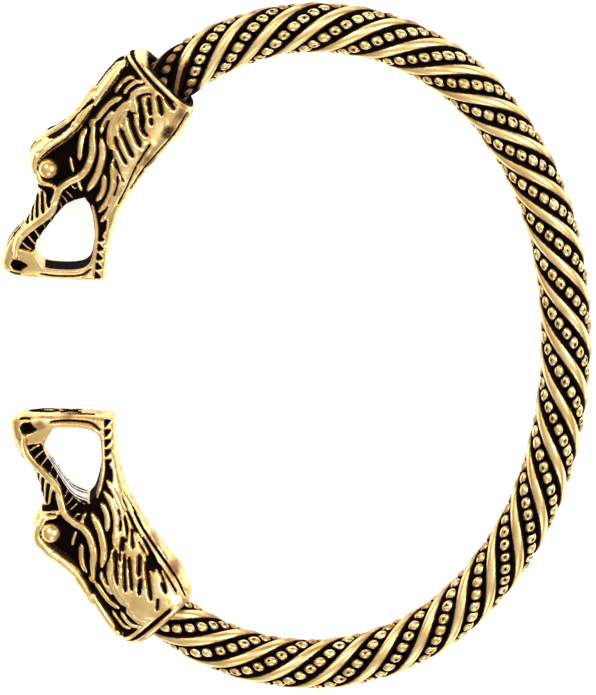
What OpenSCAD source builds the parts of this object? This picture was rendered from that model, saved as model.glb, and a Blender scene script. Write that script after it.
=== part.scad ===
// Arm ring of twisted wires between two cast animal heads, open at the wrist.
// X runs across the ring with the heads at -X, Y along its longest side, Z up from the
// surface it lies on. All sizes are in millimetres.

/* [Hoop] */
// Distance from the middle of the ring to the far side of the hoop's centreline
hoop_far_x = 28.2; // [26:0.1:30]
// Radius of the centreline along the far side
far_arc_r = 51.7; // [50:0.1:54]
// Angle at which the far side's arc ends
far_arc_end = 13.5; // [12:0.5:15]
// Radius of the centreline on the shoulders
shoulder_arc_r = 34.8; // [33:0.1:36]
// Angle at which the shoulders' arc ends
shoulder_arc_end = 41; // [39:0.5:43]
// Radius of the centreline from the shoulders to the heads
end_arc_r = 23.2; // [22.5:0.1:24]

/* [Twisted rod] */
// Length of one full turn of the twist
twist_lead = 19.5; // [18:0.1:22]
// Turn of the twist where it crosses the far side
twist_start = 0.7; // [-45:0.1:45]
// How far the looser twist of the far side sets back the twist of each end
twist_slack = 1.95; // [0:0.05:2.5]
// Diameter of a plain wire
plain_wire_d = 1.4; // [1.2:0.02:1.44]
// Distance of the plain wires from the rod's centre
plain_wire_at = 2.08; // [2.06:0.01:2.2]
// Diameter of a beaded wire over its beads
beaded_wire_d = 1.1; // [0.9:0.02:1.14]
// Distance of the beaded wires from the rod's centre
beaded_wire_at = 2.22; // [2.18:0.01:2.3]
// Diameter of the core that the wires are laid round
core_d = 2.4; // [2:0.02:2.44]
// Length of rod held in each socket
rod_in_socket = 4.4; // [3:0.1:4.6]

/* [Heads] */
// Length of rod from the middle of the far side to the upper head's collar
upper_collar_at = 65.9; // [64:0.1:67]
// Length of rod from the middle of the far side to the lower head's collar
lower_collar_at = 63.9; // [62:0.1:66]
// Angle between a head's length and the X axis
head_angle = 63.2; // [60:0.1:66]
// Half of the collar's width, which is the height of the ring's middle plane
collar_half_w = 4.1; // [4:0.05:4.4]
// Radius of the socket
socket_r = 3.2; // [3.1:0.05:3.3]
// Depth of the socket
socket_depth = 5; // [4.8:0.1:5.4]
// Angle between the socket and the head's length
socket_lean = 18; // [16:0.5:20]
// Radius of an eye ball
eye_r = 0.98; // [0.8:0.02:1.1]
// Radius of a nostril
nostril_r = 0.6; // [0.4:0.05:0.7]

/* [Hidden] */

gold = "#d9b267";
dark_gold = "#b08a44";

mid_plane = collar_half_w;
wire_pairs = 4;
wire_rings = 78;
core_rings = 40;
plain_sides = 6;
beaded_sides = 5;
core_sides = 8;
brow_sides = 6;
cord_sides = 4;
section_sides = 14;
eye_facets = 10;
nostril_sides = 8;
through = 12;

// Where the rod's centre meets the collar, in the head's own axes
rod_meets_collar = [-0.3, -0.76];
socket_drop = 0.75;

// Sections of the head. Columns: place along the head, lower edge, upper edge,
// half width, lean, squareness
head_sections = [
    [-0.35, -4.20, 4.55, collar_half_w, 17, 2.5],
    [0.45, -4.25, 4.60, collar_half_w, 17, 2.5],
    [0.65, -4.50, 4.75, 3.80, 16, 2.5],
    [3.20, -4.50, 5.10, 3.65, 10, 2.5],
    [6.00, -3.88, 5.55, 3.45, 4, 2.6],
    [9.00, -3.18, 6.00, 3.30, 0, 2.8],
    [12.00, -2.84, 7.35, 3.20, 0, 3.0],
    [14.50, -2.80, 7.75, 3.00, 0, 3.0],
    [16.30, -3.00, 6.30, 2.70, 0, 3.5],
    [18.40, -3.50, 5.55, 2.40, 0, 3.5],
    [20.40, -4.28, 5.45, 2.20, 0, 3.5],
    [22.25, -5.00, 5.95, 2.10, 0, 3.5],
    [23.50, -2.80, 6.05, 2.10, 0, 3.0],
    [24.50, -0.70, 6.00, 2.05, 0, 3.0],
    [25.60, 1.50, 5.75, 1.80, 0, 2.5],
    [26.40, 3.50, 5.35, 1.15, 0, 2.5],
];

// Outline of the opening between the jaws, which goes right through
mouth_outline = [
    [15.0, 1.4], [16.0, 2.4], [17.0, 2.85], [19.0, 3.15], [21.5, 3.4], [22.5, 3.2],
    [23.5, 2.1], [23.8, 1.2], [23.1, -0.5], [22.3, -1.8], [21.5, -2.45], [20.5, -2.45],
    [18.5, -1.65], [17.0, -0.75], [15.5, 0.5],
];

// Outline of the hollow below the brow, sunk into each side round the eye
brow_hollow = [
    [5.2, 5.1], [7.3, 5.4], [10.1, 6.0], [12.0, 6.85], [13.0, 7.4], [14.4, 7.45],
    [15.2, 6.6], [15.1, 4.5], [13.6, 3.5], [12.3, 3.1], [11.2, 3.15], [9.6, 3.7],
    [7.8, 4.78],
];
brow_hollow_floor = 2.15;

// Outline of the gum hollow between the lip and the mouth
gum_hollow = [
    [13.5, 2.3], [14.1, 3.4], [15.2, 3.8], [17.2, 3.5], [18.1, 3.45], [20.1, 4.1],
    [21.6, 4.75], [23.2, 4.75], [22.6, 3.4], [21.5, 3.2], [19.0, 3.0], [17.0, 2.6],
    [15.4, 1.6], [14.4, 1.0],
];
gum_hollow_floor = 1.5;

// Brow ridge on the nape, and the longer one above the eye that curls down in front
// of it. Columns: place along the head, height, distance from the middle plane, radius
nape_brow = [
    [0.5, 4.70, 1.30, 0.40], [1.7, 4.90, 1.40, 0.54], [3.2, 5.10, 1.45, 0.60],
    [4.8, 5.30, 1.50, 0.52], [5.6, 5.25, 1.70, 0.30],
];
eye_brow = [
    [5.0, 5.70, 1.35, 0.50], [6.8, 5.75, 1.45, 0.62], [8.8, 6.00, 1.50, 0.70],
    [10.4, 6.60, 1.55, 0.76], [12.0, 7.45, 1.60, 0.80], [13.4, 7.90, 1.65, 0.76],
    [14.4, 7.65, 1.85, 0.62], [15.1, 6.95, 2.25, 0.48], [15.55, 6.25, 2.55, 0.38],
    [15.3, 5.20, 2.70, 0.28],
];
brow_breadth = 1.9;

// Cords that lie on each side of the head. Columns: place along the head, height, radius
lip_cord = [
    [7.2, 4.40, 0.30], [8.8, 3.85, 0.38], [10.2, 3.15, 0.42], [11.8, 2.88, 0.42],
    [13.1, 3.10, 0.42], [14.1, 3.78, 0.42], [15.3, 4.18, 0.42], [17.2, 3.85, 0.42],
    [18.7, 3.84, 0.42], [20.1, 4.48, 0.44], [21.6, 5.02, 0.46], [23.2, 5.10, 0.50],
    [25.0, 4.95, 0.50], [25.9, 4.50, 0.40],
];
mouth_rim = [
    [15.1, 0.70, 0.30], [16.9, -1.05, 0.30], [18.6, -2.03, 0.30], [20.1, -2.68, 0.32],
    [21.7, -2.80, 0.34], [22.7, -2.00, 0.34], [24.0, 0.60, 0.36], [24.2, 1.60, 0.36],
    [23.7, 2.70, 0.36], [22.8, 3.60, 0.34],
];
cheek_arc = [
    [1.05, 0.3, 0.36], [1.3, 1.3, 0.40], [2.4, 2.2, 0.42], [4.0, 2.7, 0.42],
    [5.7, 2.95, 0.42], [7.2, 2.7, 0.42], [8.6, 1.9, 0.42], [10.0, 0.8, 0.42],
    [11.6, -0.2, 0.42], [13.4, -0.85, 0.42], [15.2, -0.9, 0.38],
];

// Short ribs of the collar, the cheek and the jaw: the points along each one
ribs = [
    [[-0.1, 3.1], [0.9, 3.75], [2.6, 4.2]],
    [[3.4, 3.4], [4.6, 4.05], [6.6, 4.35]],
    [[8.4, 3.05], [10.3, 2.1], [12.2, 1.6], [13.7, 1.5]],
    [[10.6, 1.3], [12.1, 0.65], [14.2, 0.15]],
    [[5.6, -2.1], [8.2, -1.95], [12.6, -1.75], [15.8, -1.6]],
];
rib_r = 0.36;

// The fur below the cheek arc: slanted ribs that start along it at even steps
fur_ribs = 4;
fur_first = [2.4, 1.5];
fur_step = [1.6, 0.1];
fur_run = [2.7, -2.3];

// Teeth along the lower jaw, as places of the first and last tooth
jaw_teeth = 5;
first_tooth = [16.6, -2.2];
last_tooth = [20.9, -3.55];
tooth_foot = 0.62;
tooth_top = 0.16;
tooth_rise = [0.3, 1.05];
tooth_out = 0.25;

eye_at = [13.95, 6.4];
eye_sink = 0.45;
nostril_at = [24.86, 4.12];
nostril_floor = 1.3;

function direction(a) = [cos(a), sin(a)];
function flip_y(p, side) = [p[0], side * p[1]];

// The hoop's centreline: three arcs on each side of the X axis. A distance along it is
// counted from the middle of the far side, and is positive towards the upper head
far_arc_len = far_arc_r * far_arc_end * PI / 180;
shoulder_arc_len = shoulder_arc_r * (shoulder_arc_end - far_arc_end) * PI / 180;
far_centre = [hoop_far_x - far_arc_r, 0];
shoulder_centre = far_centre + (far_arc_r - shoulder_arc_r) * direction(far_arc_end);
end_centre = shoulder_centre + (shoulder_arc_r - end_arc_r) * direction(shoulder_arc_end);

function hoop_angle(s) =
    let (d = abs(s))
    d < far_arc_len ? d / far_arc_r * 180 / PI
    : d < far_arc_len + shoulder_arc_len
        ? far_arc_end + (d - far_arc_len) / shoulder_arc_r * 180 / PI
    : shoulder_arc_end + (d - far_arc_len - shoulder_arc_len) / end_arc_r * 180 / PI;
function hoop_point(s) =
    let (a = hoop_angle(s), side = s < 0 ? -1 : 1)
    flip_y(a < far_arc_end ? far_centre + far_arc_r * direction(a)
        : a < shoulder_arc_end ? shoulder_centre + shoulder_arc_r * direction(a)
        : end_centre + end_arc_r * direction(a), side);
function hoop_outward(s) = flip_y(direction(hoop_angle(s)), s < 0 ? -1 : 1);

// Places in the rod, from a distance along it and a turn from +Z towards the outside
rod_upper_end = upper_collar_at + rod_in_socket;
rod_lower_end = lower_collar_at + rod_in_socket;
function spoke(s, turn) =
    let (out = hoop_outward(s)) [out[0] * sin(turn), out[1] * sin(turn), cos(turn)];
function rod_point(s, r, turn) =
    let (c = hoop_point(s)) [c[0], c[1], mid_plane] + r * spoke(s, turn);
function rod_station(i, rings) =
    -rod_lower_end + i * (rod_lower_end + rod_upper_end) / (rings - 1);

// The twist is looser round the far side: it falls behind an even twist by the slack,
// which grows steadily near its middle and levels off past its reach
slack_middle = -7;
slack_reach = 24;
function slack(s) =
    let (x = (s - slack_middle) / slack_reach) twist_slack * x / sqrt(1 + x * x);
function wire_turn(s, start) = start + twist_start - 360 * (s - slack(s)) / twist_lead;

function unit(v) = v / norm(v);
function tangent(path, i) =
    unit(path[min(i + 1, len(path) - 1)] - path[max(i - 1, 0)]);
function ring_points(p, along, up, r, breadth, sides) =
    let (across = unit(cross(along, up)), top = cross(across, along))
    [for (k = [0:sides - 1])
        let (a = 360 * (k + 0.5) / sides)
        p + r * (sin(a) * across + breadth * cos(a) * top)];

// Solid skin over a row of rings that have the same number of points
module skin(rings) {
    last = len(rings) - 1;
    sides = len(rings[0]);
    walls = [for (i = [0:last - 1], k = [0:sides - 1])
        let (a = i * sides + k, b = i * sides + (k + 1) % sides)
        each [[a, b + sides, b], [a, a + sides, b + sides]]];
    caps = [[for (k = [0:sides - 1]) k], [for (k = [sides - 1:-1:0]) last * sides + k]];
    polyhedron(
        points = [for (ring = rings) each ring],
        faces = concat(walls, caps),
        convexity = 6
    );
}

// Solid tube through a path, with an upward direction and a radius for each point. A
// breadth over 1 widens it along the upward direction
module tube(path, ups, radii, sides, breadth = 1) {
    skin([for (i = [0:len(path) - 1])
        ring_points(path[i], tangent(path, i), ups[i], radii[i], breadth, sides)]);
}

// One wire of the twist, at a distance from the rod's centre
module strand(start, at_r, d, sides) {
    stations = [for (i = [0:wire_rings - 1]) rod_station(i, wire_rings)];
    tube(
        [for (s = stations) rod_point(s, at_r, wire_turn(s, start))],
        [for (s = stations) spoke(s, wire_turn(s, start))],
        [for (s = stations) d / 2],
        sides
    );
}

module plain_wire(i) {
    color(gold) strand(360 * (i - 1) / wire_pairs, plain_wire_at, plain_wire_d, plain_sides);
}

module beaded_wire(i) {
    color(gold)
        strand(360 * (i - 0.5) / wire_pairs, beaded_wire_at, beaded_wire_d, beaded_sides);
}

module core_rod() {
    stations = [for (i = [0:core_rings - 1]) rod_station(i, core_rings)];
    color(dark_gold)
        tube(
            [for (s = stations) rod_point(s, 0, 0)],
            [for (s = stations) [0, 0, 1]],
            [for (s = stations) core_d / 2],
            core_sides
        );
}

// The head is drawn with its length along X, its brow towards +Y and its middle
// plane at Z = 0
function column(c) = [for (row = head_sections) [row[0], row[c]]];
lower_edge = column(1);
upper_edge = column(2);
half_widths = column(3);
leans = column(4);
squareness = column(5);

// Half width of the head at a place on its side. Nearer to the upper or lower edge than
// the side's share of the height, it is taken at that share
side_share = 0.97;
function side_at(u, v) =
    let (
        mid = (lookup(u, lower_edge) + lookup(u, upper_edge)) / 2,
        straight = u + (v - mid) * tan(lookup(u, leans)),
        low = lookup(straight, lower_edge),
        high = lookup(straight, upper_edge),
        power = lookup(straight, squareness),
        t = min(side_share, abs(2 * v - low - high) / (high - low))
    )
    lookup(straight, half_widths) * pow(1 - pow(t, power), 1 / power);
function rounded(a, half, power) = sign(a) * half * pow(abs(a), 2 / power);
function section_place(row, rise, w) =
    let (mid = (row[1] + row[2]) / 2)
    [row[0] - rise * sin(row[4]), mid + rise * cos(row[4]), w];
function section_ring(row) =
    [for (k = [0:section_sides - 1])
        let (a = 360 * k / section_sides)
        section_place(row, -rounded(sin(a), (row[2] - row[1]) / 2, row[5]),
            rounded(cos(a), row[3], row[5]))];

// The socket's mouth lies in the collar's end face, and its inner end deeper in
function socket_ring(depth) =
    let (inward = depth * [cos(socket_lean), sin(socket_lean), 0])
    [for (k = [0:section_sides - 1])
        let (a = 360 * k / section_sides)
        inward + section_place(head_sections[0], -socket_drop - socket_r * sin(a),
            socket_r * cos(a))];

module head_body() {
    skin([
        socket_ring(socket_depth),
        socket_ring(0),
        for (row = head_sections) section_ring(row)
    ]);
}

module both_sides() {
    children();
    mirror([0, 0, 1]) children();
}

module brow(rows) {
    tube(
        [for (row = rows) [row[0], row[1], row[2]]],
        [for (row = rows) [0, 0, 1]],
        [for (row = rows) row[3]],
        brow_sides,
        brow_breadth
    );
}

// A raised cord laid on the side of the head
module cord(rows) {
    tube(
        [for (row = rows) [row[0], row[1], side_at(row[0], row[1])]],
        [for (row = rows) [0, 0, 1]],
        [for (row = rows) row[2]],
        cord_sides
    );
}

module rib(points) {
    cord([for (p = points) [p[0], p[1], rib_r]]);
}

module cheek_fur() {
    for (i = [0:fur_ribs - 1]) {
        top = fur_first + i * fur_step;
        rib([top, top + fur_run]);
    }
}

module tooth_end(p, size, out) {
    translate([p[0], p[1], out / 2]) cube([size, size, out], center = true);
}

module teeth() {
    for (i = [0:jaw_teeth - 1]) {
        foot = first_tooth + (last_tooth - first_tooth) * i / (jaw_teeth - 1);
        out = side_at(foot[0], foot[1]) + tooth_out;
        hull() {
            tooth_end(foot, tooth_foot, out);
            tooth_end(foot + tooth_rise, tooth_top, out);
        }
    }
}

module side_relief() {
    brow(nape_brow);
    brow(eye_brow);
    cord(lip_cord);
    cord(mouth_rim);
    cord(cheek_arc);
    for (points = ribs) rib(points);
    cheek_fur();
    teeth();
    translate([eye_at[0], eye_at[1], brow_hollow_floor + eye_sink])
        sphere(r = eye_r, $fn = eye_facets);
}

module side_hollows() {
    translate([0, 0, brow_hollow_floor]) linear_extrude(through) polygon(brow_hollow);
    translate([0, 0, gum_hollow_floor]) linear_extrude(through) polygon(gum_hollow);
}

module nostril() {
    translate([nostril_at[0], nostril_at[1], nostril_floor])
        cylinder(r = nostril_r, h = through, $fn = nostril_sides);
}

module head_casting() {
    difference() {
        union() {
            difference() {
                head_body();
                both_sides() side_hollows();
            }
            both_sides() side_relief();
        }
        translate([0, 0, -through / 2]) linear_extrude(through) polygon(mouth_outline);
        both_sides() nostril();
    }
}

// A head set on the end of the rod. The side is 1 for the upper head, -1 for the lower
module placed_head(collar_at, side) {
    rod_end = hoop_point(side * collar_at);
    forward = [-cos(head_angle), -side * sin(head_angle)];
    browward = [-sin(head_angle), side * cos(head_angle)];
    origin = rod_end - rod_meets_collar[0] * forward - rod_meets_collar[1] * browward;
    translate([origin[0], origin[1], mid_plane])
        rotate([0, 0, 180 + side * head_angle])
        rotate([side > 0 ? 180 : 0, 0, 0])
        head_casting();
}

module upper_head() {
    color(gold) placed_head(upper_collar_at, 1);
}

module lower_head() {
    color(gold) placed_head(lower_collar_at, -1);
}

core_rod();
plain_wire(1);  // plain_wire_1
plain_wire(2);  // plain_wire_2
plain_wire(3);  // plain_wire_3
plain_wire(4);  // plain_wire_4
beaded_wire(1);  // beaded_wire_1
beaded_wire(2);  // beaded_wire_2
beaded_wire(3);  // beaded_wire_3
beaded_wire(4);  // beaded_wire_4
upper_head();
lower_head();
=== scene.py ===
"""Looks of an open arm ring of twisted wires between two cast animal heads.

The ring lies on its side on a pale floor. Sizes are millimetres in the classes below and
become metres where a mesh is made. Every surface is worked out with numpy: wires are
profiles carried along the twist, and each head is the zero level of a distance field.
"""
import logging
import math
from dataclasses import dataclass, field
from enum import Enum

import bpy
import numpy as np
from mathutils import Matrix, Vector


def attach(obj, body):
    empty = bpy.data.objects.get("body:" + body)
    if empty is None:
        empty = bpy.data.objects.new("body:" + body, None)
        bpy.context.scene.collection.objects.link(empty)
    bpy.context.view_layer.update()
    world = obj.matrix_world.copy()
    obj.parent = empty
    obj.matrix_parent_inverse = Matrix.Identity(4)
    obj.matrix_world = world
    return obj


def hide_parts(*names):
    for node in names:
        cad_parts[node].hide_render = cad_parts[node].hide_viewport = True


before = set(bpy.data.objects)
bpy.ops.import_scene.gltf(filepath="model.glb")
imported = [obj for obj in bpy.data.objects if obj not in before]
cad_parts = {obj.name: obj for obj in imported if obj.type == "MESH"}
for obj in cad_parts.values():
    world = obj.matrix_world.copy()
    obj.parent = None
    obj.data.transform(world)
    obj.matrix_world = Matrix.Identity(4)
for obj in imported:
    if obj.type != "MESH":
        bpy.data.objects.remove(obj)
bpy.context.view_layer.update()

log = logging.getLogger("arm_ring")

MM = 0.001
BODY = "root"
# Value of a distance field where nothing of it is near
FAR = 9.0

Array = np.ndarray
Pair = tuple[float, float]
Triple = tuple[float, float, float]
Colour = tuple[float, float, float, float]
Path2 = tuple[Pair, ...]
Faces = list[tuple[int, ...]]
Mesh = tuple[Array, Faces, dict[str, Array]]
Socket = bpy.types.NodeSocket
Material = bpy.types.Material


class Slot(Enum):
    """Names of material slots for the plain wires, the beaded wires and the cast heads."""

    PLAIN_WIRE = "plain_wire"
    BEADED_WIRE = "beaded_wire"
    CAST_HEADS = "cast_heads"


class Side(Enum):
    """Which end of the rod a head sits on: towards +Y or towards -Y."""

    UPPER = 1
    LOWER = -1


def smooth_step(low: float, high: float, value: Array) -> Array:
    """Rises from 0 at low to 1 at high, with level ends: t squared times (3 - 2 t)."""
    t = np.clip((value - low) / (high - low), 0.0, 1.0)
    return t * t * (3.0 - 2.0 * t)


def fade(low: float, high: float, value: Array) -> Array:
    """Falls from 1 at low to 0 at high, as smooth_step rises."""
    return 1.0 - smooth_step(low, high, value)


def soft_min(a: Array, b: Array, reach: float) -> Array:
    """Smaller of two fields, with a fillet where they differ by less than reach."""
    h = np.maximum(reach - np.abs(a - b), 0.0) / reach
    return np.minimum(a, b) - h * h * reach * 0.25


def soft_max(a: Array, b: Array, reach: float) -> Array:
    """Larger of two fields with a rounded edge: the soft_min of the negatives, negated."""
    return -soft_min(-a, -b, reach)


def unit(rows: Array) -> Array:
    """Rows scaled to a length of one."""
    return rows / np.linalg.norm(rows, axis=1, keepdims=True)


def smooth_path(points: Path2 | Array, per_span: int = 6) -> Array:
    """Carries a Catmull-Rom curve through a row of points.

    Args:
        points: Points in any number of dimensions.
        per_span: Steps between two neighbouring points.

    Returns:
        Points along the curve, the first and last of them the ends of the row.
    """
    p = np.asarray(points, float)
    if len(p) < 3:
        return p
    padded = np.vstack([2 * p[0] - p[1], p, 2 * p[-1] - p[-2]])
    t = np.linspace(0.0, 1.0, per_span, endpoint=False)[None, :, None]
    a, b, c, d = (padded[i:i + len(p) - 1, None, :] for i in range(4))
    curve = 0.5 * (
        2 * b + (c - a) * t + (2 * a - 5 * b + 4 * c - d) * t ** 2
        + (3 * b - a - 3 * c + d) * t ** 3
    )
    return np.vstack([curve.reshape(-1, p.shape[1]), p[-1:]])


def path_distance(path: Array, places: Array) -> tuple[Array, Array]:
    """Distance from places to a path, and how far along the path the nearest point is.

    Args:
        path: Points of the path, one row each.
        places: Places, with the coordinates in the last axis.

    Returns:
        The distances, and the nearest points' positions along the path from 0 to 1.
    """
    best = np.full(places.shape[:-1], np.inf)
    along = np.zeros(places.shape[:-1])
    steps = np.linalg.norm(np.diff(path, axis=0), axis=1)
    start = np.concatenate([[0.0], np.cumsum(steps)])
    for i, step in enumerate(steps):
        run = path[i + 1] - path[i]
        t = np.clip(((places - path[i]) @ run) / max(step * step, 1e-12), 0.0, 1.0)
        gap = np.linalg.norm(places - path[i] - t[..., None] * run, axis=-1)
        nearer = gap < best
        best = np.where(nearer, gap, best)
        along = np.where(nearer, (start[i] + t * step) / start[-1], along)
    return best, along


def near_path(path: Array, places: Array, margin: float) -> Array:
    """Tells which places lie in a path's box with a margin round it."""
    low, high = path.min(0) - margin, path.max(0) + margin
    return np.all((places > low) & (places < high), axis=-1)


def outline_distance(outline: Path2 | Array, u: Array, v: Array) -> Array:
    """Signed distance to a closed outline, negative inside it.

    Args:
        outline: Corners of the outline.
        u: First coordinates of the places.
        v: Second coordinates of the places.

    Returns:
        Distance to the nearest edge, with the sign from an even-odd crossing count.
    """
    corners = np.asarray(outline, float)
    places = np.stack([u, v], axis=-1)
    gap, _ = path_distance(np.vstack([corners, corners[:1]]), places)
    inside = np.zeros(u.shape, bool)
    for (u0, v0), (u1, v1) in zip(corners, np.roll(corners, -1, axis=0)):
        crosses = (v0 > v) != (v1 > v)
        reach = u0 + (v - v0) * (u1 - u0) / (v1 - v0 if v1 != v0 else 1.0)
        inside ^= crosses & (u < reach)
    return np.where(inside, -gap, gap)


def box_blur(values: Array, reach: int, axis: int) -> Array:
    """Mean over a run of 2 reach + 1 values along one axis, from running sums."""
    pad = [(0, 0)] * values.ndim
    pad[axis] = (reach + 1, reach)
    sums = np.cumsum(np.pad(values, pad, mode="edge"), axis=axis)
    run = 2 * reach + 1
    at = np.arange(values.shape[axis])
    return (np.take(sums, at + run, axis=axis) - np.take(sums, at, axis=axis)) / run


def blur(values: Array, reach: int) -> Array:
    """Bell-shaped blur: two box blurs along every axis."""
    for _ in range(2):
        for axis in range(values.ndim):
            values = box_blur(values, reach, axis)
    return values


def make_piece(name: str, mesh: Mesh) -> bpy.types.Object:
    """Makes a smooth-shaded object in place, with its origin at the frame's origin.

    Args:
        name: Name of the piece.
        mesh: Vertices in millimetres, the corner numbers of each face, outside
            counter-clockwise, and named vertex values, which the materials read.

    Returns:
        The new object, linked to the scene.
    """
    points, faces, values = mesh
    data = bpy.data.meshes.new(name)
    data.from_pydata((points * MM).tolist(), [], faces)
    data.polygons.foreach_set("use_smooth", np.ones(len(data.polygons), bool))
    for key, numbers in values.items():
        layer = data.attributes.new(key, "FLOAT", "POINT")
        layer.data.foreach_set("value", np.ascontiguousarray(numbers, np.float32))
    data.update()
    piece = bpy.data.objects.new(name, data)
    bpy.context.scene.collection.objects.link(piece)
    return piece


def replace_node(node: str, ending: str, mesh: Mesh, material: Material) -> None:
    """Makes a dressed piece that stands for a CAD node on the ring's one body.

    Args:
        node: CAD node that it replaces.
        ending: What the piece's name adds to the node's.
        mesh: Vertices, faces and vertex values, as make_piece takes them.
        material: Its material.
    """
    piece = make_piece(f"{node}_{ending}", mesh)
    piece.data.materials.append(material)
    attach(piece, BODY)
    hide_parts(node)
    log.info("%s: %d faces", piece.name, len(piece.data.polygons))


class Nodes:
    """Node tree of a material or world, built up one node at a time."""

    def __init__(self, owner: Material | bpy.types.World) -> None:
        """Empties the owner's tree."""
        owner.use_nodes = True
        self.tree = owner.node_tree
        self.tree.nodes.clear()

    def add(self, kind: str, inputs: dict, **settings) -> bpy.types.Node:
        """Adds a node.

        Args:
            kind: Blender's name of the node type.
            inputs: Constant values or output sockets, by input name or number.
            settings: Properties of the node.

        Returns:
            The new node.
        """
        node = self.tree.nodes.new(kind)
        for key, value in settings.items():
            setattr(node, key, value)
        for key, value in inputs.items():
            if isinstance(value, Socket):
                self.tree.links.new(value, node.inputs[key])
            else:
                node.inputs[key].default_value = value
        return node

    def attribute(self, name: str) -> Socket:
        """Value of a vertex attribute of the piece."""
        return self.add("ShaderNodeAttribute", {}, attribute_name=name).outputs["Fac"]

    def math(self, operation: str, *values: Socket | float) -> Socket:
        """Result of a math operation on sockets and numbers."""
        inputs = dict(enumerate(values))
        return self.add("ShaderNodeMath", inputs, operation=operation).outputs[0]

    def noise(self, scale: float, detail: float) -> Socket:
        """Noise on the piece's own coordinates, scale being lumps per metre."""
        place = self.add("ShaderNodeTexCoord", {}).outputs["Object"]
        inputs = {"Vector": place, "Scale": scale, "Detail": detail}
        return self.add("ShaderNodeTexNoise", inputs).outputs["Fac"]

    def uneven(self, value: Socket, scale: float, detail: float, amount: float) -> Socket:
        """Value plus noise that swings about zero."""
        swing = self.math("SUBTRACT", self.noise(scale, detail), 0.5)
        return self.math("ADD", value, self.math("MULTIPLY", swing, amount))

    def spread(self, value: Socket, limits: Pair, out: Pair = (0.0, 1.0)) -> Socket:
        """Value mapped smoothly from the range limits to the range out."""
        inputs = {
            "Value": value, "From Min": limits[0], "From Max": limits[1],
            "To Min": out[0], "To Max": out[1],
        }
        kind = "ShaderNodeMapRange"
        return self.add(kind, inputs, interpolation_type="SMOOTHSTEP").outputs["Result"]

    def mix(self, share: Socket, first: Socket | Colour, second: Socket | Colour) -> Socket:
        """Colour between two colours. The mix node has its colours at inputs 6 and 7."""
        inputs = {0: share, 6: first, 7: second}
        return self.add("ShaderNodeMix", inputs, data_type="RGBA").outputs[2]

    def principled(self, inputs: dict) -> None:
        """Ends a material's tree with a principled surface."""
        shader = self.add("ShaderNodeBsdfPrincipled", inputs)
        self.add("ShaderNodeOutputMaterial", {"Surface": shader.outputs["BSDF"]})


@dataclass(frozen=True)
class AntiqueGold:
    """Polished yellow gold plating with dark patina left in the hollows.

    The pieces carry values at each vertex: a patina value, from 0 on worn metal to 1 in
    the hollows, which in some places holds painted shade instead; a stain value, how brown
    the metal has turned, which along the rod's edges also holds brown painted shade; and a
    highlight value, how far a whitish painted highlight covers it. A noise is lumps per
    metre, detail and, with the first two of these values, amount.
    """

    name: str
    polish: float
    bright: Colour = (0.91, 0.69, 0.34, 1.0)
    deep: Colour = (0.76, 0.50, 0.19, 1.0)
    brown: Colour = (0.26, 0.13, 0.055, 1.0)
    black: Colour = (0.004, 0.0014, 0.0008, 1.0)
    # Whitish colour of a painted highlight
    highlight_white: Colour = (0.86, 0.84, 0.80, 1.0)
    patina_noise: Triple = (2600.0, 3.0, 0.45)
    patina_range: Pair = (0.34, 0.62)
    stain_noise: Triple = (900.0, 4.0, 0.9)
    stain_range: Pair = (0.25, 0.9)
    fringe_range: Pair = (0.14, 0.44)
    fringe_stain: Pair = (0.0, 0.85)
    tint_noise: Pair = (420.0, 2.0)
    tint_range: Pair = (0.3, 0.7)
    polish_noise: Pair = (3100.0, 3.0)
    polish_range: Pair = (0.25, 0.75)
    polish_spread: float = 0.12
    stain_dullness: float = 0.22
    patina_dullness: float = 0.48
    lump_noise: Pair = (1500.0, 2.0)
    lump_height: float = 0.008
    lump_strength: float = 0.6
    gloss: float = 0.06

    def material(self) -> Material:
        """Builds the material.

        Returns:
            A material whose colour, metal and roughness follow the vertex values,
            broken up by noise, with shallow lumps left by casting and polishing.
        """
        made = bpy.data.materials.new(self.name)
        n = Nodes(made)
        # The patina value also holds painted shade in a few places, as well as real patina
        worn = n.uneven(n.attribute("patina_and_shade"), *self.patina_noise)
        patina_and_shade = n.spread(worn, self.patina_range)
        # The stain value also holds brown painted shade on the rod's edges
        stained = n.uneven(n.attribute("stain"), *self.stain_noise)
        fringe = n.spread(worn, self.fringe_range, self.fringe_stain)
        stain = n.math("MAXIMUM", n.spread(stained, self.stain_range), fringe)
        tint = n.spread(n.noise(*self.tint_noise), self.tint_range)
        # Mixes in a whitish painted highlight where the highlight value is set
        gold = n.mix(n.attribute("painted_highlight"), n.mix(tint, self.bright, self.deep), self.highlight_white)
        rough_range = (self.polish, self.polish + self.polish_spread)
        rough = n.spread(n.noise(*self.polish_noise), self.polish_range, rough_range)
        rough = n.math("ADD", rough, n.math("MULTIPLY", stain, self.stain_dullness))
        lumps = n.add("ShaderNodeBump", {
            "Strength": self.lump_strength,
            "Distance": self.lump_height * MM,
            "Height": n.noise(*self.lump_noise),
        })
        n.principled({
            "Base Color": n.mix(patina_and_shade, n.mix(stain, gold, self.brown), self.black),
            "Metallic": n.spread(patina_and_shade, (0.0, 1.0), (1.0, 0.0)),
            "Roughness": n.math("ADD", rough, n.math("MULTIPLY", patina_and_shade, self.patina_dullness)),
            "Normal": lumps.outputs["Normal"],
            "Specular IOR Level": self.gloss,
        })
        return made


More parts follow.
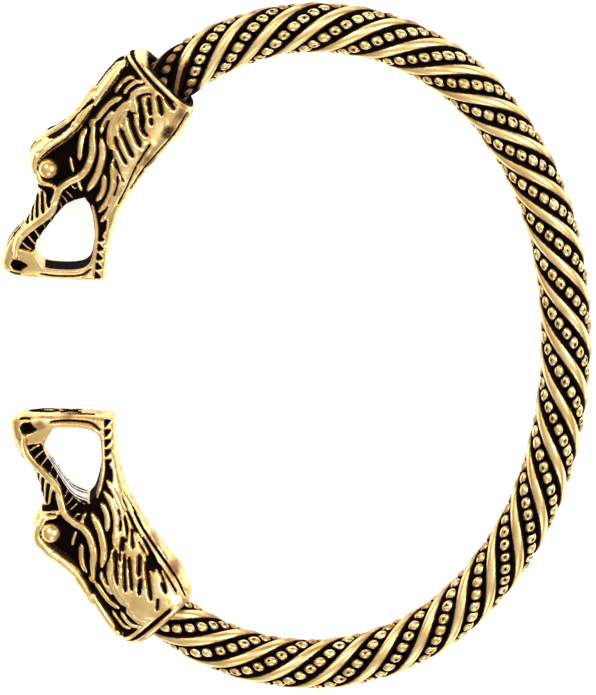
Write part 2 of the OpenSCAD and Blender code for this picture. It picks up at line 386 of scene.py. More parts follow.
@dataclass(frozen=True)
class DarkCore:
    """Blackened brass of the core, which shows only between the wires."""

    name: str = "blackened_core"
    black: Colour = (0.004, 0.003, 0.0025, 1.0)
    brown: Colour = (0.02, 0.011, 0.006, 1.0)
    blotch_noise: Pair = (1800.0, 3.0)
    blotch_range: Pair = (0.45, 0.75)
    roughness: Pair = (0.85, 0.6)
    gloss: float = 0.06

    def material(self) -> Material:
        """Builds the material: near black with brown blotches, half dull."""
        made = bpy.data.materials.new(self.name)
        n = Nodes(made)
        blotch = n.spread(n.noise(*self.blotch_noise), self.blotch_range)
        n.principled({
            "Base Color": n.mix(blotch, self.black, self.brown),
            "Metallic": 0.0,
            "Roughness": n.spread(blotch, (0.0, 1.0), self.roughness),
            "Specular IOR Level": self.gloss,
        })
        return made


@dataclass(frozen=True)
class Hoop:
    """Centreline of the rod: three arcs on each side of the X axis.

    A distance s along it is counted from the middle of the far side and is positive
    towards the upper head.
    """

    far_x: float = 28.2
    radii: Triple = (51.7, 34.8, 23.2)
    turns: Pair = (13.5, 41.0)
    height: float = 4.1

    def place(self, s: Array) -> tuple[Array, Array]:
        """Works out places and outward directions on the centreline.

        The direction angle grows by ds / radius along each arc. Each arc starts where
        the last one ends and has its centre on the line to that one's centre.

        Args:
            s: Distances along the centreline.

        Returns:
            Points and unit outward directions, one row for each distance.
        """
        limits = np.radians(self.turns)
        r = self.radii
        first = r[0] * limits[0]
        second = r[1] * (limits[1] - limits[0])
        d = np.abs(s)
        angle = np.where(
            d < first,
            d / r[0],
            np.where(
                d < first + second,
                limits[0] + (d - first) / r[1],
                limits[1] + (d - first - second) / r[2],
            ),
        )
        far = np.array([self.far_x - r[0], 0.0])
        heading = [np.array([math.cos(a), math.sin(a)]) for a in limits]
        shoulder = far + (r[0] - r[1]) * heading[0]
        end = shoulder + (r[1] - r[2]) * heading[1]
        centres = np.array([far, shoulder, end])
        arc = (angle >= limits[0]).astype(int) + (angle >= limits[1])
        out = np.stack([np.cos(angle), np.sin(angle)], axis=-1)
        points = centres[arc] + np.array(r)[arc][:, None] * out
        flip = np.where(s < 0, -1.0, 1.0)
        points[:, 1] *= flip
        out[:, 1] *= flip
        level = np.full(len(s), self.height)
        return np.column_stack([points, level]), np.column_stack([out, level * 0.0])


@dataclass(frozen=True)
class PlainWires:
    """Round wires of the twist, each a tube with rings at even steps."""

    radius: float = 0.7
    at_r: float = 1.99
    step: float = 0.34
    sides: int = 24


@dataclass(frozen=True)
class Beads:
    """Beads of the beaded wires, uneven in place and size, some with a pit in the crown.

    In each bead the radius follows neck + (bead - neck) (1 - |x|^power)^0.5, where x runs
    from -1 to 1 along the bead.
    """

    radius: float = 0.60
    at_r: float = 2.09
    pitch: float = 1.26
    fill: float = 0.86
    power: float = 2.2
    lean: float = 0.36
    rings: int = 11
    sides: int = 18
    neck_r: float = 0.26
    neck_patina: Pair = (0.34, 0.5)
    shine: float = 0.14
    place_noise: float = 0.03
    size_noise: float = 0.03
    size_limits: Pair = (-0.06, 0.02)
    length_noise: float = 0.06
    pit_share: float = 0.6
    pit_noise: float = 0.09
    pit_edge: Pair = (0.081, 0.27)
    pit_depth: float = 0.08
    pit_patina: float = 0.8


@dataclass
class TwistedRod:
    """Rod of four plain and four beaded wires laid round a core, in a left-hand twist.

    The worn range is a distance from the rod's centre, between patina and bare gold; the
    collar shade range is such a distance for painted shade next to the upper collar. The
    stain ranges are distances from a collar, and the edge shade range, for brown painted
    shade towards the rod's outline, is one from the rod's middle plane.
    """

    hoop: Hoop
    plain: PlainWires = PlainWires()
    beads: Beads = Beads()
    pairs: int = 4
    lead: float = 19.5
    start_turn: float = 0.7
    slack: float = 1.95
    slack_middle: float = -7.0
    slack_reach: float = 24.0
    upper_end: float = 70.3
    lower_end: float = -68.3
    upper_collar: float = 65.9
    lower_collar: float = -63.9
    samples: int = 6000
    probe: float = 0.01
    worn_r: float = 2.68
    worn_range: Pair = (2.42, 2.64)
    # Painted shade next to the upper collar reaches up to this distance from the centre
    collar_shade_range: Pair = (2.60, 2.73)
    upper_stain_range: Pair = (0.9, 3.6)
    lower_stain_range: Pair = (0.2, 1.8)
    lower_stain: float = 0.5
    # Brown painted shade towards the rod's outline, by distance from its middle plane
    edge_shade_range: Pair = (0.3, 1.6)
    edge_shade_amount: float = 0.62
    seed: int = 11

    def wire_centre(self, s: Array, start: float, at_r: float) -> tuple[Array, Array, Array]:
        """Places a wire round the rod.

        The wire turns by 360 degrees in each lead, less the slack of the looser twist
        round the far side, slack x / root(1 + x squared). Its centre lies at the hoop's
        point + at_r (outward sin turn + Z cos turn).

        Args:
            s: Distances along the hoop.
            start: Turn of this wire at the middle of the far side, in degrees.
            at_r: Distance of the wire from the rod's centre.

        Returns:
            Wire centres, spokes that point away from the rod's centre, and rod centres.
        """
        centre, out = self.hoop.place(s)
        x = (s - self.slack_middle) / self.slack_reach
        behind = self.slack * x / np.sqrt(1.0 + x * x)
        turn = np.radians(start + self.start_turn - 360.0 * (s - behind) / self.lead)
        turn = turn[:, None]
        spoke = out * np.sin(turn) + np.array([0.0, 0.0, 1.0]) * np.cos(turn)
        return centre + at_r * spoke, spoke, centre

    def wire_line(self, start: float, at_r: float) -> tuple[Array, Array]:
        """Distances along the hoop, finely spaced, and a wire's own length at each."""
        s = np.linspace(self.lower_end, self.upper_end, self.samples)
        centre, _, _ = self.wire_centre(s, start, at_r)
        steps = np.linalg.norm(np.diff(centre, axis=0), axis=1)
        return s, np.concatenate([[0.0], np.cumsum(steps)])

    def sweep(
        self, length: Array, radius: Array, start: float, at_r: float, lean: float = 0.0
    ) -> tuple[Array, Faces, Array, Array]:
        """Carries a round profile along a wire.

        Each ring has its centre on the wire: point = centre + radius (cos a spoke +
        sin a (across + lean along)). Points that stand further from the rod's centre
        than the worn radius are drawn back to it, which flattens the crowns.

        Args:
            length: Length along the wire of each ring.
            radius: Radius at each point, one row for each ring.
            start: Turn of this wire at the middle of the far side, in degrees.
            at_r: Distance of the wire from the rod's centre.
            lean: How far a ring leans along the wire towards its sides.

        Returns:
            Points, faces, each point's distance from the rod's centre, and its place s.
        """
        fine_s, fine_length = self.wire_line(start, at_r)
        s = np.interp(length, fine_length, fine_s)
        centre, spoke, rod = self.wire_centre(s, start, at_r)
        ahead, _, _ = self.wire_centre(s + self.probe, start, at_r)
        behind, _, _ = self.wire_centre(s - self.probe, start, at_r)
        along = unit(ahead - behind)
        across = unit(np.cross(along, spoke))
        top = np.cross(across, along)[:, None, :]
        leaning = (across + lean * along)[:, None, :]
        sides = radius.shape[1]
        a = np.linspace(0.0, 2.0 * np.pi, sides, endpoint=False)[None, :, None]
        ring = np.cos(a) * top + np.sin(a) * leaning
        points = centre[:, None, :] + radius[:, :, None] * ring
        from_rod = points - rod[:, None, :]
        rod_along = unit(np.cross(spoke, np.cross(along, spoke)))[:, None, :]
        radial = from_rod - np.sum(from_rod * rod_along, axis=-1, keepdims=True) * rod_along
        away = np.linalg.norm(radial, axis=-1, keepdims=True)
        trim = np.minimum(1.0, self.worn_r / np.maximum(away, 1e-9))
        points = points - radial * (1.0 - trim)
        away = np.minimum(away, self.worn_r)
        flat = np.vstack([points.reshape(-1, 3), centre[0], centre[-1]])
        rise = np.concatenate([away.reshape(-1), [at_r, at_r]])
        place = np.concatenate([np.repeat(s, sides), [s[0], s[-1]]])
        return flat, tube_faces(len(s), sides), rise, place

    def dress_values(
        self, points: Array, rise: Array, place: Array, base: Array
    ) -> dict[str, Array]:
        """Patina below the worn crowns, painted shade by the upper collar, stain near the
        collars and brown painted shade on the rod's edges.

        Args:
            points: Vertices.
            rise: Distance of each vertex from the rod's centre.
            place: Distance of each vertex along the rod.
            base: Patina that is there in any case.

        Returns:
            The vertex values that the gold reads.
        """
        upper = fade(*self.upper_stain_range, self.upper_collar - place)
        lower = fade(*self.lower_stain_range, place - self.lower_collar)
        off_middle = np.abs(points[:, 2] - points[:, 2].mean())
        # Brown painted shade on the rod's flanks, where its outline is seen
        edge = self.edge_shade_amount * fade(*self.edge_shade_range, off_middle)
        # Painted shade next to the upper collar, over nearly the whole wires
        collar_shade = upper * fade(*self.collar_shade_range, rise)
        patina_and_shade = np.maximum(fade(*self.worn_range, rise), collar_shade)
        stain = np.maximum(np.maximum(upper, self.lower_stain * lower), edge)
        return {"patina_and_shade": np.maximum(patina_and_shade, base), "stain": stain}

    def add_plain_wires(self, material: Material) -> None:
        """Adds the plain wires, dressed in a material."""
        wire = self.plain
        for i in range(self.pairs):
            start = 360.0 * i / self.pairs
            total = self.wire_line(start, wire.at_r)[1][-1]
            rings = int(total / wire.step)
            length = np.linspace(0.0, total, rings)
            radius = np.full((rings, wire.sides), wire.radius)
            points, faces, rise, place = self.sweep(length, radius, start, wire.at_r)
            values = self.dress_values(points, rise, place, np.zeros(len(rise)))
            mesh = (points, faces, values)
            replace_node(f"plain_wire_{i + 1}", "round", mesh, material)

    def add_beaded_wires(self, material: Material) -> None:
        """Adds the beaded wires, dressed in a material. Rings crowd at a bead's ends."""
        bead = self.beads
        rng = np.random.default_rng(self.seed)
        x = np.sin(np.linspace(-0.5, 0.5, bead.rings) * np.pi)
        swell = np.maximum(1.0 - np.abs(x) ** bead.power, 0.0) ** 0.5
        a = np.linspace(0.0, 2.0 * np.pi, bead.sides, endpoint=False)
        a = np.where(a > np.pi, a - 2.0 * np.pi, a)
        for i in range(self.pairs):
            start = 360.0 * (i + 0.5) / self.pairs
            total = self.wire_line(start, bead.at_r)[1][-1]
            count = int(total / bead.pitch)
            pitch = total / count
            middle = (np.arange(count) + 0.5) * pitch + rng.normal(0.0, bead.place_noise, count)
            grown = np.clip(rng.normal(0.0, bead.size_noise, count), *bead.size_limits)
            size = bead.radius * (1.0 + grown)
            stretch = 1.0 + rng.normal(0.0, bead.length_noise, count)
            pit_place = rng.normal(0.0, bead.pit_noise, (count, 2))
            pitted = rng.random(count) < bead.pit_share
            half = 0.5 * pitch * bead.fill * stretch
            length = middle[:, None] + half[:, None] * x[None, :]
            radius = bead.neck_r + (size[:, None] - bead.neck_r) * swell[None, :]
            off_along = length - (middle + pit_place[:, 0])[:, None]
            off_across = radius[:, :, None] * a - pit_place[:, 1][:, None, None]
            pit = fade(*bead.pit_edge, np.hypot(off_along[:, :, None], off_across))
            pit = (pit * pitted[:, None, None]).reshape(-1, bead.sides)
            length = np.clip(length.reshape(-1), 0.0, total)
            radius = radius.reshape(-1)[:, None] - bead.pit_depth * pit
            points, faces, rise, place = self.sweep(length, radius, start, bead.at_r, bead.lean)
            dark = np.maximum(fade(*bead.neck_patina, radius), bead.pit_patina * pit)
            base = np.concatenate([dark.reshape(-1), [1.0, 1.0]])
            values = self.dress_values(points, rise + bead.shine, place, base)
            mesh = (points, faces, values)
            replace_node(f"beaded_wire_{i + 1}", "beads", mesh, material)


def tube_faces(rings: int, sides: int) -> Faces:
    """Faces of a closed tube: quads between rings and fans to the two end points.

    Args:
        rings: Number of rings.
        sides: Points in a ring.

    Returns:
        Corner numbers. The two end points come after the points of the rings.
    """
    k = np.arange(sides)
    k_next = (k + 1) % sides
    i = np.arange(rings - 1)[:, None] * sides
    walls = np.stack([i + k, i + k_next, i + sides + k_next, i + sides + k], axis=-1)
    count = rings * sides
    base = count - sides
    start = np.stack([np.full(sides, count), k_next, k], axis=-1)
    end = np.stack([np.full(sides, count + 1), base + k, base + k_next], axis=-1)
    return [tuple(f) for part in (walls.reshape(-1, 4), start, end) for f in part.tolist()]


@dataclass(frozen=True)
class Rib:
    """A raised cord or rib on the side of a head.

    Its crown stands height above the casting's own side, and falls by drop to its edges
    along a half round.
    """

    points: Path2
    half_width: float
    height: float = 0.06
    drop: float = 0.24


@dataclass(frozen=True)
class Cut:
    """A slot or engraved line, cut to a depth below whatever surface it crosses."""

    points: Path2
    half_width: float
    depth: float = 0.35


@dataclass(frozen=True)
class Channel:
    """A round-bottomed groove cut along a path of places (along, height, across)."""

    points: tuple[Triple, ...]
    radius: float


@dataclass(frozen=True)
class Spot:
    """A tarnished place on a head's side: how brown it is, and how dark."""

    at: Pair
    radius: float
    stain: float
    dark: float = 0.0


@dataclass(frozen=True)
class Hollow:
    """A sunk patch inside an outline, with a floor at a depth below the casting's side."""

    outline: Path2
    depth: float
    softness: float = 0.16


HEAD_SECTIONS = np.array([
    # along, lower edge, upper edge, half width, lean, squareness
    [-0.15, -4.20, 4.20, 3.95, 17, 2.5],
    [0.45, -4.25, 4.30, 4.10, 17, 2.5],
    [0.65, -4.50, 4.75, 3.80, 16, 2.5],
    [3.20, -4.50, 5.10, 3.65, 10, 2.5],
    [6.00, -3.88, 5.55, 3.45, 4, 2.6],
    [9.00, -3.18, 6.00, 3.30, 0, 2.8],
    [12.00, -2.84, 7.35, 3.20, 0, 3.0],
    [14.50, -2.80, 7.75, 3.00, 0, 3.0],
    [16.30, -3.00, 6.30, 2.70, 0, 3.5],
    [18.40, -3.50, 5.55, 2.40, 0, 3.5],
    [20.40, -4.28, 5.45, 2.20, 0, 3.5],
    [22.25, -5.00, 5.95, 2.10, 0, 3.5],
    [23.50, -2.80, 6.05, 2.10, 0, 3.0],
    [24.50, -0.70, 6.00, 2.05, 0, 3.0],
    [25.60, 1.50, 5.75, 1.80, 0, 2.5],
    [26.40, 3.50, 5.35, 1.15, 0, 2.5],
])

MOUTH = (
    (15.0, 1.4), (16.0, 2.4), (17.0, 2.85), (19.0, 3.15), (21.5, 3.4), (22.5, 3.2),
    (23.5, 2.1), (23.8, 1.2), (23.1, -0.5), (22.3, -1.8), (21.5, -2.45), (20.5, -2.45),
    (18.5, -1.65), (17.0, -0.75), (15.5, 0.5),
)

HOLLOWS = (
    Hollow((
        (-0.2, 4.7), (0.35, 3.0), (0.8, 2.0), (1.5, 2.45), (2.7, 2.9), (3.3, 2.55),
        (4.3, 3.0), (5.7, 3.2), (7.0, 2.95), (8.2, 2.4), (8.8, 1.9), (9.6, 1.4),
        (10.5, 0.6), (11.2, 0.0), (12.4, -0.75), (13.8, -1.3), (15.6, -1.55),
        (16.4, -1.9), (17.0, -2.2), (18.4, -2.2), (17.0, -0.9), (15.6, 0.4),
        (14.9, 1.4), (14.3, 2.5), (13.4, 2.7), (12.0, 2.6), (10.4, 2.9), (8.9, 3.6),
        (7.7, 4.3), (7.0, 5.1), (3.0, 4.9),
    ), 0.55),
    Hollow((
        (13.5, 2.3), (14.1, 3.4), (15.2, 3.8), (17.2, 3.5), (18.1, 3.45), (20.1, 4.1),
        (21.6, 4.75), (23.2, 4.75), (22.9, 3.4), (21.5, 3.2), (19.0, 2.9), (17.0, 2.5),
        (15.4, 1.4), (14.4, 1.0),
    ), 0.75),
    Hollow((
        (15.7, 4.5), (16.5, 4.3), (16.9, 4.45), (16.5, 5.5), (16.7, 6.4), (16.0, 6.4),
    ), 0.55),
    Hollow(((24.45, 3.95), (24.7, 4.6), (25.3, 4.6), (25.6, 4.1), (25.4, 3.45),
            (24.9, 3.35), (24.5, 3.1), (24.45, 3.5)), 1.0, 0.1),
    # Round the eye
    Hollow((
        (5.2, 5.1), (7.3, 5.4), (10.1, 6.0), (12.0, 6.85), (13.0, 7.4), (14.4, 7.45),
        (15.2, 6.6), (15.1, 4.5), (13.6, 3.5), (12.3, 3.1), (11.2, 3.15), (9.6, 3.7),
        (7.8, 4.6),
    ), 1.0),
)

LIP_CORD = (
    (7.5, 4.4), (8.8, 3.85), (10.0, 3.2), (11.3, 2.9), (12.3, 2.88), (13.2, 3.15),
    (14.0, 3.7), (15.2, 4.2), (16.0, 4.12), (17.3, 3.85), (18.3, 3.8), (19.3, 4.15),
    (20.4, 4.6), (21.5, 5.0), (22.5, 5.15), (23.5, 5.0), (24.3, 4.6),
)

RIBS = (
    Rib(((0.9, 3.2), (1.3, 3.65), (2.0, 3.95), (2.8, 4.1), (3.3, 4.1)), 0.22),
    Rib(((0.75, 2.2), (1.2, 2.85), (2.0, 3.2), (2.9, 3.3)), 0.25),
    Rib(((0.95, 0.4), (1.15, 1.3), (1.9, 2.15), (2.9, 2.5)), 0.36, 0.1),
    Rib(((3.45, 3.35), (4.4, 3.95), (5.4, 4.2), (6.9, 4.45)), 0.3, 0.1),
    Rib(((5.2, 3.42), (6.4, 3.55), (7.4, 3.5), (7.8, 3.35)), 0.27, 0.08),
    Rib(((3.3, 2.35), (4.3, 2.72), (5.7, 2.85), (7.1, 2.6), (8.1, 2.15), (8.7, 1.75)), 0.42, 0.12),
    Rib(((6.95, 4.45), (7.4, 4.75), (7.9, 4.5)), 0.28),
    Rib(((8.3, 4.85), (9.2, 4.85), (10.4, 4.45), (11.4, 3.95)), 0.36, 0.1, 0.26),
    Rib(((11.7, 4.9), (12.3, 4.45), (12.95, 3.85)), 0.24, 0.0, 0.2),
    Rib(LIP_CORD, 0.44, 0.42, 0.4),
    Rib(((13.3, 3.0), (13.9, 2.65), (14.3, 2.1)), 0.24, 0.1, 0.2),
    Rib(((8.4, 3.0), (9.5, 2.25), (10.8, 1.78), (12.3, 1.52), (13.9, 1.55)), 0.42, 0.16),
    Rib(((11.7, 0.85), (12.8, 0.3), (13.7, 0.12), (14.5, 0.2)), 0.36, 0.12),
    Rib(((10.2, 0.8), (11.5, -0.1), (12.9, -0.66), (14.4, -0.8), (15.5, -0.6)), 0.36, 0.14),
    Rib(((11.9, -0.95), (13.5, -1.42), (15.2, -1.5), (16.4, -1.35)), 0.32, 0.12),
    Rib(((15.25, 0.35), (16.3, -0.55), (17.5, -1.4), (19.2, -2.2), (20.5, -2.75),
         (21.9, -2.9), (22.8, -2.35)), 0.2, 0.08, 0.16),
    Rib(((14.85, 1.4), (15.4, 2.0), (16.3, 2.55), (17.6, 2.85), (19.4, 3.05),
         (21.6, 3.2)), 0.12, -0.2, 0.12),
    # Stripes of the gum
    Rib(((14.3, 3.35), (14.55, 2.95), (14.3, 2.7)), 0.15, -0.2, 0.14),
    Rib(((15.2, 3.75), (15.35, 3.1), (15.6, 2.4)), 0.14, -0.2, 0.14),
    Rib(((15.85, 3.75), (16.05, 3.2), (16.35, 2.7)), 0.14, -0.2, 0.14),
    Rib(((16.55, 3.7), (16.8, 3.3), (17.2, 2.9)), 0.13, -0.2, 0.14),
    Rib(((18.5, 3.65), (18.9, 3.3), (19.3, 3.1)), 0.13, -0.2, 0.14),
    Rib(((19.6, 3.95), (19.9, 3.5), (20.3, 3.2)), 0.13, -0.2, 0.14),
    Rib(((20.7, 4.35), (21.0, 3.8), (21.3, 3.3)), 0.15, -0.16, 0.14),
    Rib(((21.6, 4.65), (21.9, 4.0), (22.1, 3.3)), 0.15, -0.16, 0.14),
    Rib(((22.55, 4.75), (22.75, 4.2), (22.75, 3.5)), 0.15, -0.16, 0.14),
)

CUTS = (
    # Grooves along the middles of the arcs and the lip
    Cut(((1.0, 0.9), (1.4, 1.6), (2.2, 2.25)), 0.07, 0.16),
    Cut(((3.8, 2.5), (4.9, 2.82), (6.2, 2.78), (7.4, 2.45)), 0.07, 0.16),
    Cut(((6.2, 3.42), (7.3, 3.42)), 0.09, 0.3),
    Cut(LIP_CORD[1:-2], 0.06, 0.12),
    # Wrinkles on the snout
    Cut(((16.5, 4.95), (17.1, 4.6), (17.7, 4.2)), 0.19, 0.5),
    Cut(((16.7, 5.55), (17.7, 5.0), (18.6, 4.45)), 0.18, 0.5),
    Cut(((17.3, 5.75), (18.4, 5.25), (19.4, 4.72)), 0.17, 0.5),
    Cut(((18.2, 5.8), (19.1, 5.4), (20.0, 5.0)), 0.15, 0.4),
    Cut(((19.3, 5.7), (20.0, 5.45), (20.6, 5.2)), 0.12, 0.35),
    # Lines along the under jaw
    Cut(((6.4, -1.75), (7.6, -1.68), (9.0, -1.62)), 0.15, 0.3),
    Cut(((9.0, -1.6), (10.6, -1.75), (12.0, -1.92), (14.0, -2.0)), 0.14, 0.28),
    Cut(((1.6, -3.5), (3.4, -3.5), (5.0, -3.35), (7.0, -2.95), (9.5, -2.5), (12.0, -2.35)),
        0.15, 0.3),
    Cut(((11.0, -0.35), (12.0, -0.9), (13.2, -1.15)), 0.14, 0.3),
    # Double line round the front of the mouth
    Cut(((24.65, 1.5), (24.2, 0.2), (23.5, -1.2), (22.7, -2.4), (21.6, -2.95)), 0.13, 0.35),
    Cut(((25.7, 3.2), (25.95, 3.7), (26.1, 4.3)), 0.14, 0.35),
    # Rough pits behind the mouth corner
    Cut(((9.5, 1.25), (10.0, 1.1)), 0.16, 0.3),
    Cut(((10.3, 1.15), (10.7, 0.95)), 0.15, 0.3),
    Cut(((12.2, 1.0), (13.2, 0.9), (14.2, 0.95)), 0.1, 0.3),
)

UPPER_FUR = (
    Cut(((0.75, 2.5), (1.5, 3.2), (2.6, 3.55)), 0.11, 0.4),
    Cut(((0.85, 2.0), (1.4, 2.65), (2.4, 3.05)), 0.09, 0.4),
    Cut(((0.9, 1.1), (1.3, 1.75), (2.3, 2.35), (3.3, 3.1), (4.7, 3.8), (6.0, 4.4)), 0.1, 0.4),
    Cut(((4.3, 2.8), (5.5, 3.4), (6.6, 3.75)), 0.08, 0.3),
    Cut(((4.1, 1.45), (5.1, 1.9), (6.1, 1.8)), 0.05, 0.3),
    Cut(((7.6, 2.7), (8.7, 1.9), (10.0, 1.0)), 0.1, 0.4),
    Cut(((9.6, 0.65), (10.6, -0.3), (11.5, -1.4)), 0.07, 0.3),
    Cut(((1.1, -0.7), (1.45, -1.4), (1.8, -2.1)), 0.15),
    Cut(((1.3, 0.1), (2.0, -0.5), (2.9, -1.2)), 0.18),
    Cut(((2.0, 1.0), (2.2, 0.7), (3.5, -0.2)), 0.15),
    Cut(((3.8, -0.4), (4.4, -0.8)), 0.15),
    Cut(((1.55, 0.9), (1.85, 1.5), (2.5, 1.75), (3.2, 1.2), (4.4, 0.3), (5.4, -0.3),
         (5.7, -1.0)), 0.17),
    Cut(((4.3, 1.9), (5.5, 0.9), (6.4, -0.1), (7.1, -0.9)), 0.2),
    Cut(((6.4, 1.85), (7.5, 0.5), (8.5, -0.8)), 0.17),
    Cut(((7.4, 1.9), (8.2, 1.2), (8.8, 0.4), (9.5, -0.6)), 0.12),
    Cut(((4.4, 2.15), (5.4, 2.2), (6.3, 2.05)), 0.12, 0.25),
    Cut(((2.65, 0.8), (2.8, 0.7)), 0.1, 0.25),
    Cut(((4.0, 1.35), (4.3, 1.2)), 0.1, 0.25),
    Cut(((8.9, 1.6), (9.6, 0.9), (10.4, 0.1)), 0.1, 0.25),
)

LOWER_FUR = (
    Cut(((12.6, -2.4), (10.6, -2.5), (8.5, -2.7), (6.3, -3.0), (4.1, -3.3)), 0.06, 0.25),
    Cut(((14.6, -2.3), (12.6, -2.5), (10.4, -2.8), (8.4, -3.05), (6.0, -3.4)), 0.05, 0.25),
    Cut(((9.2, -2.2), (7.0, -2.3), (4.7, -2.3), (2.9, -1.9)), 0.08, 0.35),
    Cut(((15.1, -1.4), (13.0, -1.2), (11.4, -0.3), (10.3, 1.1)), 0.08, 0.4),
    Cut(((12.4, -1.3), (10.8, -1.05), (9.6, -0.4)), 0.07, 0.35),
    Cut(((2.4, -2.9), (4.2, -2.75), (6.0, -2.5)), 0.07),
    Cut(((5.0, -2.2), (7.5, -2.2), (10.0, -1.95), (12.6, -1.75)), 0.07),
    Cut(((10.4, -0.9), (11.4, -1.25), (13.0, -1.6)), 0.07),
    Cut(((7.9, 1.1), (9.2, 0.5), (10.4, -0.3)), 0.08),
    Cut(((4.0, 0.7), (4.9, 0.2), (5.5, -0.2)), 0.12),
    Cut(((3.0, -0.2), (4.9, -0.8), (6.8, -1.4)), 0.16),
    Cut(((4.8, 1.2), (6.5, 0.6), (8.1, 0.0)), 0.14),
    Cut(((4.9, 1.9), (6.8, 1.1), (8.6, 0.3)), 0.14),
    Cut(((5.8, 2.55), (7.4, 1.9), (9.3, 1.0)), 0.2),
    Cut(((5.8, -0.1), (6.8, -0.6), (7.8, -1.1)), 0.16),
    Cut(((1.7, -0.3), (2.2, -0.6), (2.8, -0.9)), 0.1),
    Cut(((3.0, -1.9), (4.1, -1.9)), 0.1),
    Cut(((5.6, -1.7), (6.4, -1.9), (7.3, -2.1)), 0.24),
    Cut(((8.9, 0.3), (9.5, 0.0), (10.2, -0.4)), 0.12),
    Cut(((8.8, -0.8), (9.6, -1.1), (10.6, -1.5)), 0.12),
)

NAPE_BROW = (
    # along, height, distance from the middle plane, radius
    (0.5, 4.70, 1.30, 0.40), (1.7, 4.90, 1.40, 0.54), (3.2, 5.10, 1.45, 0.60),
    (4.8, 5.30, 1.50, 0.52), (5.6, 5.25, 1.70, 0.30),
)
EYE_BROW = (
    (5.0, 5.70, 1.35, 0.50), (6.8, 5.75, 1.45, 0.62), (8.8, 6.00, 1.50, 0.70),
    (10.4, 6.60, 1.55, 0.76), (12.0, 7.45, 1.60, 0.80), (13.4, 7.90, 1.65, 0.76),
    (14.4, 7.65, 1.85, 0.62), (15.1, 6.95, 2.25, 0.48), (15.55, 6.25, 2.55, 0.38),
    (15.3, 5.20, 2.70, 0.28),
)

UPPER_SPOTS = (
    Spot((4.15, -2.72), 1.1, 1.0, 0.54), Spot((4.65, -2.75), 1.1, 1.0, 0.54),
    Spot((8.2, -2.6), 1.5, 0.85), Spot((2.0, -3.2), 1.4, 0.7),
)
LOWER_SPOTS = (
    Spot((4.8, -3.5), 1.8, 0.7), Spot((8.3, -2.8), 1.8, 0.65), Spot((24.7, -0.7), 1.5, 0.75),
    Spot((24.9, 2.6), 1.2, 0.7),
)

UPPER_CHANNELS = (
    # Dark valley along the brow, in stretches
    Channel(((0.5, 4.9, 0.64), (1.05, 5.23, 1.04), (2.1, 5.48, 1.09), (3.28, 5.69, 1.18),
             (4.31, 5.76, 1.2)), 0.22),
    Channel(((5.38, 5.8, 2.37), (6.68, 6.3, 2.13), (7.94, 6.62, 1.85)), 0.2),
    Channel(((7.94, 6.72, 1.85), (9.0, 6.98, 1.9), (9.9, 7.42, 2.0), (10.7, 7.88, 2.1)), 0.48),
    Channel(((8.9, 6.75, 2.3), (9.8, 7.1, 2.4), (10.6, 7.55, 2.5)), 0.34),
    Channel(((9.4, 7.15, 1.4), (10.0, 7.5, 1.45), (10.9, 8.0, 1.5)), 0.4),
    Channel(((13.0, 8.4, 1.0), (13.9, 8.5, 1.2), (14.6, 8.0, 1.6)), 0.1),
    # Thin line that parts the brow from its lower lip
    Channel(((6.4, 5.35, 2.45), (8.6, 5.65, 2.7), (10.4, 6.3, 2.85), (12.0, 7.1, 2.98),
             (13.3, 7.5, 2.95)), 0.12),
    Channel(((1.6, 4.62, 2.35), (3.2, 4.8, 2.5), (4.6, 5.0, 2.45)), 0.12),
)

CHANNELS = (
    # Pits and grooves on top of the snout
    Channel(((17.9, 5.9, 0.5), (18.3, 5.75, 0.5)), 0.26),
    Channel(((18.9, 5.6, 0.5), (19.3, 5.55, 0.5)), 0.28),
    Channel(((19.9, 5.55, 0.55), (20.2, 5.55, 0.55)), 0.26),
    Channel(((20.9, 5.65, 0.35), (21.2, 5.75, 0.9), (20.7, 5.55, 1.15), (20.5, 5.5, 0.7)), 0.14),
    Channel(((21.6, 5.85, 0.2), (22.8, 6.1, 0.2), (24.2, 6.2, 0.25)), 0.17),
    Channel(((21.5, 5.75, 0.85), (22.8, 6.0, 0.95), (24.0, 6.05, 1.0)), 0.17),
    # Grooves along the bar in front of the mouth
    Channel(((25.5, 2.6, 0.9), (25.0, 1.2, 1.0), (24.5, 0.0, 1.0)), 0.12),
    Channel(((24.3, -0.5, 0.95), (23.9, -1.6, 1.0), (23.3, -3.0, 1.0)), 0.12),
    Channel(((26.0, 2.9, 0.1), (25.6, 1.4, 0.5), (25.2, 0.4, 0.3)), 0.3),
    Channel(((25.0, -0.1, 0.5), (24.6, -0.9, 0.2), (24.2, -1.7, 0.5)), 0.34),
)


@dataclass(frozen=True)
class Notches:
    """Row of notches along the outer edge of the under jaw."""

    count: int = 6
    first: Pair = (17.2, -1.8)
    step: Pair = (0.97, -0.42)
    corners: Path2 = ((-0.42, 0.42), (0.38, 0.1), (0.0, -0.5))
    depth: float = 0.6
    softness: float = 0.07

    def hollows(self) -> list[Hollow]:
        """The notches as hollows, each one step on from the last."""
        made = []
        for i in range(self.count):
            middle = np.array(self.first) + i * np.array(self.step)
            corners = tuple(map(tuple, middle + np.array(self.corners)))
            made.append(Hollow(corners, self.depth, self.softness))
        return made


